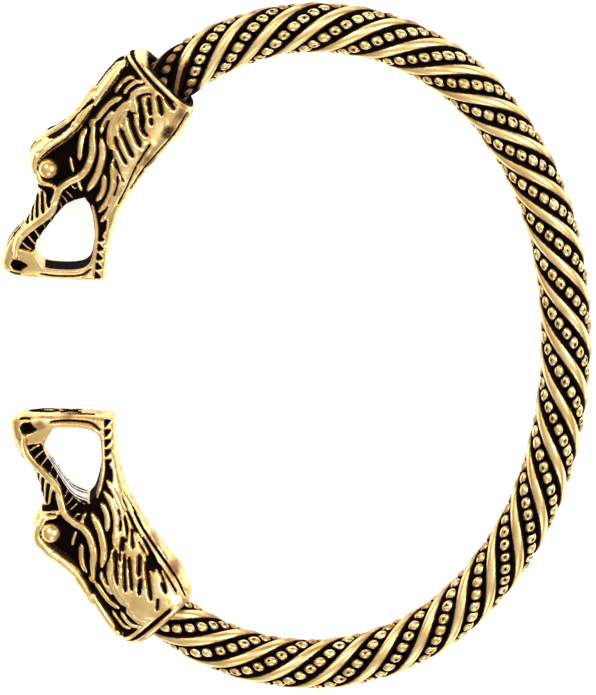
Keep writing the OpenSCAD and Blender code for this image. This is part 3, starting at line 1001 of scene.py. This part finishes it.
@dataclass
class SideMap:
    """Heights on the side of a head, drawn on a fine grid of places (u, v)."""

    u0: float = -1.6
    u1: float = 27.2
    v0: float = -6.0
    v1: float = 9.6
    pitch: float = 0.05
    margin: float = 1.0
    rib_taper: Pair = (0.55, 4.0)
    cut_taper: Pair = (0.5, 5.0)
    cut_wall: Pair = (0.55, 1.35)

    def __post_init__(self) -> None:
        """Lays out the grid, with no relief yet."""
        u = np.arange(self.u0, self.u1, self.pitch)
        v = np.arange(self.v0, self.v1, self.pitch)
        self.u, self.v = np.meshgrid(u, v, indexing="ij")
        self.height = np.zeros_like(self.u)

    def window(self, points: Path2) -> tuple[slice, slice]:
        """Part of the grid that lies within the margin of some points."""
        p = np.asarray(points, float)
        low = ((p.min(0) - self.margin - (self.u0, self.v0)) / self.pitch).astype(int)
        high = ((p.max(0) + self.margin - (self.u0, self.v0)) / self.pitch).astype(int) + 2
        low = np.maximum(low, 0)
        return slice(low[0], max(high[0], 0)), slice(low[1], max(high[1], 0))

    def sink(self, hollow: Hollow) -> None:
        """Sinks a patch: height = min(height, -depth inside, rising to 0 at its edge)."""
        part = self.window(hollow.outline)
        gap = outline_distance(hollow.outline, self.u[part], self.v[part])
        inside = fade(-hollow.softness, hollow.softness, gap)
        self.height[part] = np.minimum(self.height[part], -hollow.depth * inside)

    def stroke(self, line: Rib | Cut, tip: float, growth: float) -> tuple[tuple, Array]:
        """Measures the places round a line by the line's own half width.

        Args:
            line: Rib or cut.
            tip: Share of its half width that the line has at its ends.
            growth: How fast that share grows with the share of the line's length.

        Returns:
            The part of the grid round the line, and distances over the half width there.
        """
        part = self.window(line.points)
        places = np.stack([self.u[part], self.v[part]], axis=-1)
        gap, along = path_distance(smooth_path(line.points), places)
        taper = np.minimum(1.0, tip + growth * np.minimum(along, 1.0 - along))
        return part, gap / (line.half_width * taper)

    def raise_rib(self, rib: Rib) -> None:
        """Raises a rib: height - drop (1 - root(1 - (distance / half width) squared))."""
        part, x = self.stroke(rib, *self.rib_taper)
        crown = rib.height - rib.drop * (1.0 - np.sqrt(np.maximum(1.0 - x * x, 0.0)))
        raised = np.maximum(self.height[part], crown)
        self.height[part] = np.where(x < 1.0, raised, self.height[part])

    def cut(self, cut: Cut) -> None:
        """Cuts a slot: height less depth, level in the middle half of its width."""
        part, x = self.stroke(cut, *self.cut_taper)
        self.height[part] -= cut.depth * fade(*self.cut_wall, x)

    def sample(self, values: Array, u: Array, v: Array) -> Array:
        """Bilinear value of a grid of values at places."""
        x = np.clip((u - self.u0) / self.pitch, 0.0, values.shape[0] - 1.001)
        y = np.clip((v - self.v0) / self.pitch, 0.0, values.shape[1] - 1.001)
        i, j = x.astype(int), y.astype(int)
        x, y = x - i, y - j
        low = values[i, j] * (1 - x) + values[i + 1, j] * x
        high = values[i, j + 1] * (1 - x) + values[i + 1, j + 1] * x
        return low * (1 - y) + high * y


@dataclass(frozen=True)
class HeadFinish:
    """Where a head is dark with patina or painted shade, brown, or has a painted highlight.

    A range gives the two measures between which a shade sets in: heights of the side
    map, shares of metal round a vertex, or places in the head's own axes.
    """

    deep_range: Pair = (0.16, 0.42)
    crease_range: Pair = (0.05, 0.15)
    crease_floor: float = -0.35
    crowd_range: Pair = (0.60, 0.74)
    brow_reach: float = 0.06
    eye_reach: float = 0.08
    mouth_reach: float = 0.04
    wall_depth: float = 0.45
    # Painted shade on the mouth's inner wall below this height, a painted highlight above it
    wall_shade_below: float = 1.3
    highlight_above_range: Pair = (1.3, 2.0)
    highlight_end_range: Pair = (20.3, 21.3)
    wall_bands: Path2 = ((0.75, 0.28), (1.75, 0.2))
    band_range: Pair = (0.1, 0.5)
    band_darkness: float = 0.85
    socket_reach: float = 0.1
    channel_reach: float = 0.03
    # Painted shade on the collar's end face, round the rod
    end_shade_range: Pair = (0.1, 0.22)
    end_shade_brow_range: Pair = (2.3, 3.3)
    end_shade: float = 0.62
    collar_range: Pair = (0.0, 3.5)
    collar_low_range: Pair = (-3.6, -1.5)
    collar_stain: float = 0.1
    collar_low_stain: float = 0.4
    rim_range: Pair = (0.0, 0.45)
    rim_stain: float = 0.55
    crest_range: Pair = (-0.1, 0.4)
    crest_breadth: Pair = (0.5, 1.3)
    crest_stain: float = 0.58
    spot_core: float = 0.2


@dataclass
class CastHead:
    """Cast animal head with open jaws, on one end of the rod.

    It is drawn with its length along u, its brow towards +v and its middle plane at
    w = 0, and is the same on both sides of that plane.
    """

    side: Side
    hoop: Hoop
    collar_at: float
    fur: tuple[Cut, ...]
    spots: tuple[Spot, ...]
    channels: tuple[Channel, ...]
    notches: Notches = Notches()
    finish: HeadFinish = HeadFinish()
    angle: float = 63.2
    rod_meets: Pair = (-0.3, -0.76)
    cell: Triple = (0.12, 0.12, 0.16)
    grid_from: Triple = (-2.2, -5.6, 0.0)
    grid_to: Triple = (27.2, 9.4, 4.75)
    probe: float = 0.02
    least_pull_slope: float = 0.2
    longest_pull: float = 0.05
    eye: Triple = (13.9, 6.35, 2.85)
    eye_r: float = 1.05
    eye_fillet: float = 0.06
    brow_breadth: float = 1.9
    brow_fillet: float = 0.12
    brow_margin: float = 1.6
    channel_margin: float = 0.8
    channel_edge: float = 0.06
    mouth_edge: float = 0.16
    end_edge: float = 0.35
    least_slope: float = 0.12
    socket_r: float = 3.2
    socket_depth: float = 5.0
    socket_lean: float = 18.0
    socket_drop: float = 0.58
    socket_edge: float = 0.2
    fur_breadth: float = 1.75
    rim_groove: float = 0.42
    rim_rise_range: Pair = (0.42, 0.52)
    rim_fall_range: Pair = (0.78, 0.9)
    rim_above_range: Pair = (-1.9, -1.4)
    lump_height: float = 0.05
    lump_top: float = -0.025
    lump_reach: int = 5
    seed: int = 5
    relief: SideMap = field(default_factory=SideMap)
    lumps: Array = field(init=False)
    dark: Array = field(init=False)
    mouth_gap: Array = field(init=False)

    def draw_relief(self) -> None:
        """Draws the side map, from hollows to cuts, and measures the mouth's outline."""
        side = self.relief
        for hollow in HOLLOWS:
            side.sink(hollow)
        for cut in self.fur:
            side.cut(Cut(cut.points, cut.half_width * self.fur_breadth, cut.depth))
        place = self.straight(side.u, side.v)
        groove = smooth_step(*self.rim_rise_range, place) * fade(*self.rim_fall_range, place)
        side.height -= self.rim_groove * groove * smooth_step(*self.rim_above_range, side.v)
        for rib in RIBS:
            side.raise_rib(rib)
        for hollow in self.notches.hollows():
            side.sink(hollow)
        for cut in CUTS:
            side.cut(cut)
        side.height = blur(side.height, 1)
        outline = smooth_path(MOUTH + MOUTH[:1], 4)[:-1]
        self.mouth_gap = outline_distance(outline, side.u, side.v)

    def draw_shades(self) -> None:
        """Draws the casting's lumps, and the patina of the side map's hollows and creases."""
        side, finish = self.relief, self.finish
        noise = np.random.default_rng(self.seed).normal(0.0, 1.0, side.u.shape)
        lumps = blur(noise, self.lump_reach)
        self.lumps = np.minimum(lumps * (self.lump_height / lumps.std()), self.lump_top)
        around = blur(np.maximum(side.height, finish.crease_floor), self.lump_reach)
        deep = smooth_step(*finish.deep_range, -side.height)
        crease = smooth_step(*finish.crease_range, around - side.height)
        on_head = self.half_width(side.u, side.v) > 0.0
        self.dark = np.maximum(deep, crease) * on_head

    def straight(self, u: Array, v: Array) -> Array:
        """Place along the head of the leaning section that passes through (u, v)."""
        s = HEAD_SECTIONS
        middle = np.interp(u, s[:, 0], (s[:, 1] + s[:, 2]) / 2)
        return u + (v - middle) * np.tan(np.radians(np.interp(u, s[:, 0], s[:, 4])))

    def section(self, u: Array, v: Array) -> tuple[Array, Array, Array, Array]:
        """Section through a place: its share of the half height, and its sizes.

        Args:
            u: Places along the head.
            v: Heights.

        Returns:
            Distance from the section's middle over its half height, the half height,
            the half width and the power of its superellipse.
        """
        s = HEAD_SECTIONS
        place = self.straight(u, v)
        low, high, half, lean, power = (np.interp(place, s[:, 0], s[:, c]) for c in range(1, 6))
        tall = (high - low) / 2 * np.cos(np.radians(lean))
        return np.abs(v - (low + high) / 2) / tall, tall, half, power

    def half_width(self, u: Array, v: Array) -> Array:
        """Half width of the bare casting at a place on its side, 0 outside it."""
        a, _, half, power = self.section(u, v)
        return half * np.maximum(1.0 - a ** power, 0.0) ** (1.0 / power)

    def body_field(self, u: Array, v: Array, w: Array) -> Array:
        """Distance to the bare casting, negative inside.

        With g the superellipse's own measure, (a^p + b^p)^(1/p), the distance is
        (g - 1) over the length of its gradient.

        Args:
            u: Places along the head.
            v: Heights.
            w: Distances from the middle plane, not negative.

        Returns:
            The distance field.
        """
        a, tall, half, p = self.section(u, v)
        a = np.maximum(a, 1e-3)
        b = np.maximum(w / half, 1e-3)
        g = (a ** p + b ** p) ** (1.0 / p)
        slope = g ** (1.0 - p) * np.hypot(a ** (p - 1) / tall, b ** (p - 1) / half)
        around = (g - 1.0) / np.maximum(slope, self.least_slope)
        place = self.straight(u, v)
        ends = np.maximum(HEAD_SECTIONS[0, 0] - place, place - HEAD_SECTIONS[-1, 0])
        return soft_max(around, ends, self.end_edge)

    def brow_field(self, rows: tuple, u: Array, v: Array, w: Array) -> Array:
        """Distance to a brow lobe: a tube along a path, widened across the head."""
        path = smooth_path(np.asarray(rows, float), 4)
        squeeze = np.array([1.0, 1.0, 1.0 / self.brow_breadth])
        line = path[:, :3] * squeeze
        places = np.stack([u, v, w], axis=-1) * squeeze
        near = near_path(line, places, self.brow_margin)
        gap, along = path_distance(line, places[near])
        steps = np.linalg.norm(np.diff(line, axis=0), axis=1)
        share = np.concatenate([[0.0], np.cumsum(steps)]) / steps.sum()
        result = np.full(u.shape, FAR)
        result[near] = gap - np.interp(along, share, path[:, 3])
        return result

    def channels_field(self, u: Array, v: Array, w: Array) -> Array:
        """Distance to the nearest channel: to its path, less its radius."""
        result = np.full(u.shape, FAR)
        places = np.stack([u, v, w], axis=-1)
        for channel in self.channels:
            path = smooth_path(channel.points, 4)
            near = near_path(path, places, self.channel_margin)
            gap, _ = path_distance(path, places[near])
            result[near] = np.minimum(result[near], gap - channel.radius)
        return result

    def eye_field(self, u: Array, v: Array, w: Array) -> Array:
        """Distance to the eye ball."""
        eye_u, eye_v, eye_w = self.eye
        return np.sqrt((u - eye_u) ** 2 + (v - eye_v) ** 2 + (w - eye_w) ** 2) - self.eye_r

    def socket_field(self, u: Array, v: Array, w: Array) -> Array:
        """Distance to the bore that takes the rod: a cylinder that leans in the head."""
        lean = math.radians(self.socket_lean)
        start, low, high, _, end_lean, _ = HEAD_SECTIONS[0]
        end_lean = math.radians(end_lean)
        du = u - (start + self.socket_drop * math.sin(end_lean))
        dv = v - ((low + high) / 2 - self.socket_drop * math.cos(end_lean))
        depth = du * math.cos(lean) + dv * math.sin(lean)
        off = dv * math.cos(lean) - du * math.sin(lean)
        return np.maximum(np.hypot(off, w) - self.socket_r, depth - self.socket_depth)

    def whole_field(self, u: Array, v: Array, w: Array) -> Array:
        """Distance field of the whole head.

        The side map's height shifts w before the casting's field is read. Brows and eye
        ball are joined to it, and the channels, mouth and socket are taken away.

        Args:
            u: Places along the head.
            v: Heights.
            w: Distances from the middle plane, of either sign.

        Returns:
            The field, negative in the metal.
        """
        w = np.abs(w)
        height = self.relief.sample(self.relief.height, u, v)
        metal = self.body_field(u, v, np.maximum(w - height, 0.0))
        for rows in (NAPE_BROW, EYE_BROW):
            metal = soft_min(metal, self.brow_field(rows, u, v, w), self.brow_fillet)
        metal = metal - self.relief.sample(self.lumps, u, v)
        metal = soft_min(metal, self.eye_field(u, v, w), self.eye_fillet)
        metal = soft_max(metal, -self.channels_field(u, v, w), self.channel_edge)
        mouth = self.relief.sample(self.mouth_gap, u, v)
        metal = soft_max(metal, -mouth, self.mouth_edge)
        return soft_max(metal, -self.socket_field(u, v, w), self.socket_edge)

    def build(self) -> Mesh:
        """Works out the head's surface on a grid of one half, mirrored to the other.

        Returns:
            Points in the ring's frame, faces, and the vertex values of the gold.
        """
        self.draw_relief()
        self.draw_shades()
        cell = np.array(self.cell)
        u, v, w = (np.arange(*row) for row in zip(self.grid_from, self.grid_to, self.cell))
        half = self.whole_field(*np.meshgrid(u, v, w, indexing="ij"))
        whole = np.concatenate([half[:, :, :0:-1], half], axis=2)
        corner = np.array([u[0], v[0], -w[-1]])
        points, faces = surface_net(whole, corner, cell)
        for _ in range(2):
            points = self.pull_to_surface(points)
        crowd = blur((whole < 0.0).astype(np.float32), 2)
        index = ((points - corner) / cell).round().astype(int)
        crowded = crowd[tuple(np.clip(index, 0, np.array(crowd.shape) - 1).T)]
        return self.to_ring(points), faces, self.dress_values(points, crowded)

    def pull_to_surface(self, points: Array) -> Array:
        """Newton step on to the field's zero level, no longer than the longest pull."""
        value = self.whole_field(*points.T)
        slope = np.stack([
            self.whole_field(*(points + nudge).T) - self.whole_field(*(points - nudge).T)
            for nudge in self.probe * np.eye(3)
        ], axis=-1) / (2 * self.probe)
        steepness = np.maximum(np.sum(slope * slope, axis=1), self.least_pull_slope)
        move = slope * (value / steepness)[:, None]
        size = np.linalg.norm(move, axis=1, keepdims=True)
        return points - move * np.minimum(1.0, self.longest_pull / np.maximum(size, 1e-9))

    def mouth_wall_light_and_shade(self, u: Array, v: Array, w: Array) -> tuple[Array, Array]:
        """Painted shade on the wall inside the mouth, and its painted highlight.

        The wall is painted dark towards the under jaw, where it lies in shade. Above that it
        gets a pale painted highlight between dark bands.
        """
        finish = self.finish
        depth = self.half_width(u, v) - w
        in_mouth = self.relief.sample(self.mouth_gap, u, v) < finish.mouth_reach
        painted_wall_shading = in_mouth & (w < self.half_width(u, v) - finish.wall_depth)
        # Pale painted highlight on the wall's upper part, fading out towards the snout's front
        painted_highlight = painted_wall_shading * smooth_step(*finish.highlight_above_range, v) * fade(*finish.highlight_end_range, u)
        banded = np.zeros(u.shape, bool)
        for middle, reach in finish.wall_bands:
            banded |= np.abs(depth - middle) < reach
        bands = finish.band_darkness * (banded * smooth_step(*finish.band_range, painted_highlight))
        return painted_wall_shading * np.where(v < finish.wall_shade_below, 1.0, bands), painted_highlight

    def drawn_patina(self, u: Array, v: Array, w: Array) -> Array:
        """Patina that the side map draws, off brows, eye and mouth, and that of channels."""
        finish = self.finish
        brow = np.minimum(
            self.brow_field(NAPE_BROW, u, v, w), self.brow_field(EYE_BROW, u, v, w)
        )
        bare = (brow < finish.brow_reach) | (self.eye_field(u, v, w) < finish.eye_reach)
        bare |= self.relief.sample(self.mouth_gap, u, v) < finish.mouth_reach
        drawn = np.where(bare, 0.0, self.relief.sample(self.dark, u, v))
        return np.maximum(drawn, self.channels_field(u, v, w) < finish.channel_reach)

    def stains(self, u: Array, v: Array, w: Array) -> Array:
        """Brown of the collar, of the rim along the under edge and of the crest."""
        finish = self.finish
        place = self.straight(u, v)
        low = fade(*finish.collar_low_range, v)
        amount = finish.collar_stain + finish.collar_low_stain * low
        collar = fade(*finish.collar_range, place) * amount
        under = v - np.interp(place, HEAD_SECTIONS[:, 0], HEAD_SECTIONS[:, 1])
        over = v - np.interp(place, HEAD_SECTIONS[:, 0], HEAD_SECTIONS[:, 2])
        rim = finish.rim_stain * fade(*finish.rim_range, under)
        crest = smooth_step(*finish.crest_range, over) * fade(*finish.crest_breadth, w)
        return np.maximum(collar, np.maximum(rim, finish.crest_stain * crest))

    def dress_values(self, points: Array, crowded: Array) -> dict[str, Array]:
        """Works out where the head has patina, painted shade, brown or a painted highlight.

        Args:
            points: Vertices in the head's own axes.
            crowded: Share of metal round each vertex, over one half in a hollow.

        Returns:
            The vertex values that the gold reads.
        """
        finish = self.finish
        u, v, w = points[:, 0], points[:, 1], np.abs(points[:, 2])
        patina_and_shade = np.maximum(
            smooth_step(*finish.crowd_range, crowded), self.drawn_patina(u, v, w)
        )
        # Painted shade low on the mouth's inner wall, and a painted highlight above it
        painted_wall_shading, painted_highlight = self.mouth_wall_light_and_shade(u, v, w)
        patina_and_shade = np.maximum(patina_and_shade, painted_wall_shading)
        patina_and_shade = np.maximum(patina_and_shade, self.socket_field(u, v, w) < finish.socket_reach)
        # Painted shade on the collar's end face, below the brow
        behind = self.straight(u, v) - HEAD_SECTIONS[0, 0]
        end = finish.end_shade * fade(*finish.end_shade_range, behind)
        patina_and_shade = np.maximum(patina_and_shade, end * fade(*finish.end_shade_brow_range, v))
        stain = self.stains(u, v, w)
        on_camera_side = points[:, 2] * self.side.value < 0.0
        for spot in self.spots:
            gap = np.hypot(u - spot.at[0], v - spot.at[1]) / spot.radius
            share = fade(finish.spot_core, 1.0, gap) * on_camera_side
            stain = np.maximum(stain, spot.stain * share)
            patina_and_shade = np.maximum(patina_and_shade, spot.dark * share)
        return {"patina_and_shade": patina_and_shade, "stain": stain, "painted_highlight": painted_highlight}

    def to_ring(self, points: Array) -> Array:
        """Moves points (u, v, w) from the head's own axes into the ring's frame.

        The head's origin lies so that the rod's end meets the collar, and its length
        makes the head's angle with the X axis.
        """
        sign = self.side.value
        a = math.radians(self.angle)
        forward = np.array([-math.cos(a), -sign * math.sin(a), 0.0])
        brow = np.array([-math.sin(a), sign * math.cos(a), 0.0])
        up = np.array([0.0, 0.0, -float(sign)])
        rod_end, _ = self.hoop.place(np.array([sign * self.collar_at]))
        origin = rod_end[0] - self.rod_meets[0] * forward - self.rod_meets[1] * brow
        return origin + points @ np.stack([forward, brow, up])

    def add(self, node: str, material: Material) -> None:
        """Adds the head in place of its CAD node, dressed in a material."""
        replace_node(node, "casting", self.build(), material)


def surface_net(values: Array, corner: Array, cell: Array) -> tuple[Array, Faces]:
    """Net of quads on the zero level of a field on a grid.

    Each cell that the surface crosses gets one point, the mean of the crossings of its
    edges. Each grid edge that changes sign gets one quad, between the four cells round it.

    Args:
        values: Field on the grid, negative inside.
        corner: Place of the grid's first point.
        cell: Size of a cell along each axis.

    Returns:
        Points and quads, outside counter-clockwise.
    """
    inside = values < 0.0
    shape = np.array(values.shape) - 1
    bits = [(i, j, k) for i in (0, 1) for j in (0, 1) for k in (0, 1)]
    count = sum(
        inside[i:i + shape[0], j:j + shape[1], k:k + shape[2]].astype(np.int8)
        for i, j, k in bits
    )
    cells = np.argwhere((count > 0) & (count < 8))
    number = np.full(tuple(shape), -1)
    number[tuple(cells.T)] = np.arange(len(cells))
    corners = {bit: values[tuple((cells + np.array(bit)).T)] for bit in bits}
    total = np.zeros((len(cells), 3))
    hits = np.zeros(len(cells))
    for a in bits:
        for axis in range(3):
            if a[axis]:
                continue
            b = tuple(1 if n == axis else a[n] for n in range(3))
            fa, fb = corners[a], corners[b]
            crossed = (fa < 0.0) != (fb < 0.0)
            t = np.where(crossed, fa / np.where(crossed, fa - fb, 1.0), 0.0)
            place = np.tile(np.array(a, float), (len(cells), 1))
            place[:, axis] += t
            total += place * crossed[:, None]
            hits += crossed
    points = corner + (cells + total / hits[:, None]) * cell
    quads = []
    for axis in range(3):
        others = [(axis + 1) % 3, (axis + 2) % 3]
        edges = np.argwhere(np.diff(inside, axis=axis))
        limits = shape[others]
        edges = edges[np.all((edges[:, others] > 0) & (edges[:, others] < limits), axis=1)]
        ring = []
        for back in ((1, 1), (0, 1), (0, 0), (1, 0)):
            beside = edges.copy()
            beside[:, others] -= back
            ring.append(number[tuple(beside.T)])
        quad = np.stack(ring, axis=-1)
        leaving = inside[tuple(edges.T)]
        quads.append(np.where(leaving[:, None], quad, quad[:, ::-1]))
    return points, [tuple(q) for q in np.vstack(quads).tolist()]


@dataclass(frozen=True)
class Studio:
    """Pale floor, soft lights, light tent and camera, none of them part of the ring.

    A light is a name, a place and the side of a square in metres, and a power in watts.
    """

    tilt: float = 16.0
    roll: float = 2.05
    distance: float = 2.4
    frame_width: float = 62.58
    sensor: float = 36.0
    clip_end: float = 20.0
    shift_right: float = 0.0861
    shift_down: float = 0.1134
    middle_height: float = 4.1
    floor_size: float = 3.0
    floor_glow: float = 0.65
    floor_roughness: float = 0.9
    floor_gloss: float = 0.1
    floor_colour: Colour = (0.93, 0.93, 0.93, 1.0)
    glow_colour: Colour = (1.0, 1.0, 1.0, 1.0)
    lights: tuple[tuple[str, Triple, float, float], ...] = (
        ("window_light", (-0.35, 0.55, 0.6), 0.4, 2.8),
        ("side_light", (0.55, 0.15, 0.6), 0.45, 3.8),
        ("low_light", (0.1, -0.7, 0.45), 0.4, 1.4),
    )
    low_wall: Colour = (0.34, 0.32, 0.30, 1.0)
    high_wall: Colour = (0.72, 0.72, 0.72, 1.0)
    wall_range: Pair = (0.1, 0.8)
    patch: Colour = (1.1, 1.08, 1.05, 1.0)
    patch_angles: Pair = (26.0, 9.0)

    def axes(self) -> tuple[Vector, Vector, Vector]:
        """Camera's right, up and backward directions, from its tilt towards +Y and roll."""
        tilt, roll = math.radians(self.tilt), math.radians(self.roll)
        back = Vector((0.0, math.sin(tilt), math.cos(tilt)))
        level_up = Vector((0.0, math.cos(tilt), -math.sin(tilt)))
        across = Vector((1.0, 0.0, 0.0))
        right = across * math.cos(roll) + level_up * math.sin(roll)
        up = level_up * math.cos(roll) - across * math.sin(roll)
        return right, up, back

    def add_camera(self) -> None:
        """Adds the camera, square on to the ring's middle from far off."""
        right, up, back = self.axes()
        target = Vector((0.0, 0.0, self.middle_height))
        target += right * self.shift_right - up * self.shift_down
        data = bpy.data.cameras.new("camera")
        data.sensor_fit = "HORIZONTAL"
        data.sensor_width = self.sensor
        data.lens = self.sensor * self.distance / (self.frame_width * MM)
        data.clip_end = self.clip_end
        camera = bpy.data.objects.new("camera", data)
        turn = Matrix((right, up, back)).transposed().to_4x4()
        camera.matrix_world = Matrix.Translation(target * MM + back * self.distance) @ turn
        bpy.context.scene.collection.objects.link(camera)
        bpy.context.scene.camera = camera

    def add_floor(self) -> None:
        """Adds a plain pale floor at the height the ring rests on."""
        h = self.floor_size / 2 / MM
        corners = np.array([[-h, -h, 0.0], [h, -h, 0.0], [h, h, 0.0], [-h, h, 0.0]])
        floor = make_piece("floor", (corners, [(0, 1, 2, 3)], {}))
        made = bpy.data.materials.new("pale_floor")
        Nodes(made).principled({
            "Base Color": self.floor_colour,
            "Roughness": self.floor_roughness,
            "Specular IOR Level": self.floor_gloss,
            "Emission Color": self.glow_colour,
            "Emission Strength": self.floor_glow,
        })
        floor.data.materials.append(made)

    def add_lights(self) -> None:
        """Adds the square soft lights, which face the ring."""
        for name, place, size, power in self.lights:
            data = bpy.data.lights.new(name, "AREA")
            data.size = size
            data.energy = power
            light = bpy.data.objects.new(name, data)
            light.location = place
            light.rotation_euler = Vector(place).to_track_quat("Z", "Y").to_euler()
            bpy.context.scene.collection.objects.link(light)

    def add_world(self) -> None:
        """Adds the light tent: walls that darken downwards and a bright patch overhead."""
        world = bpy.data.worlds.new("light_tent")
        n = Nodes(world)
        _, _, back = self.axes()
        direction = n.add("ShaderNodeTexCoord", {}).outputs["Generated"]
        facing = n.add(
            "ShaderNodeVectorMath", {0: direction, 1: tuple(back)}, operation="DOT_PRODUCT"
        ).outputs["Value"]
        edges = [math.cos(math.radians(angle)) for angle in self.patch_angles]
        height = n.add("ShaderNodeSeparateXYZ", {"Vector": direction}).outputs["Z"]
        walls = n.mix(n.spread(height, self.wall_range), self.low_wall, self.high_wall)
        colour = n.mix(n.spread(facing, edges), walls, self.patch)
        shade = n.add("ShaderNodeBackground", {"Color": colour, "Strength": 1.0})
        n.add("ShaderNodeOutputWorld", {"Surface": shade.outputs["Background"]})
        bpy.context.scene.world = world

    def build(self) -> None:
        """Adds camera, floor, lights and light tent."""
        self.add_camera()
        self.add_floor()
        self.add_lights()
        self.add_world()
        bpy.context.scene.view_settings.view_transform = "Standard"


def dress_core() -> None:
    """Gives the core's CAD node its blackened finish."""
    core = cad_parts["core_rod"]
    core.data.materials.clear()
    core.data.materials.append(DarkCore().material())


def main() -> None:
    """Builds the studio, the rod and the two heads in order."""
    logging.basicConfig(level=logging.INFO, format="%(message)s")
    hoop = Hoop()
    Studio().build()
    dress_core()
    rod = TwistedRod(hoop)
    rod.add_plain_wires(AntiqueGold("plain_wire_gold", polish=0.28).material())
    rod.add_beaded_wires(AntiqueGold("beaded_wire_gold", polish=0.2).material())
    head_gold = AntiqueGold("cast_gold", polish=0.24).material()
    upper = CastHead(
        Side.UPPER, hoop, rod.upper_collar, UPPER_FUR, UPPER_SPOTS, UPPER_CHANNELS + CHANNELS
    )
    upper.add("upper_head", head_gold)
    lower = CastHead(Side.LOWER, hoop, -rod.lower_collar, LOWER_FUR, LOWER_SPOTS, CHANNELS)
    lower.add("lower_head", head_gold)


if __name__ == "__main__":
    main()
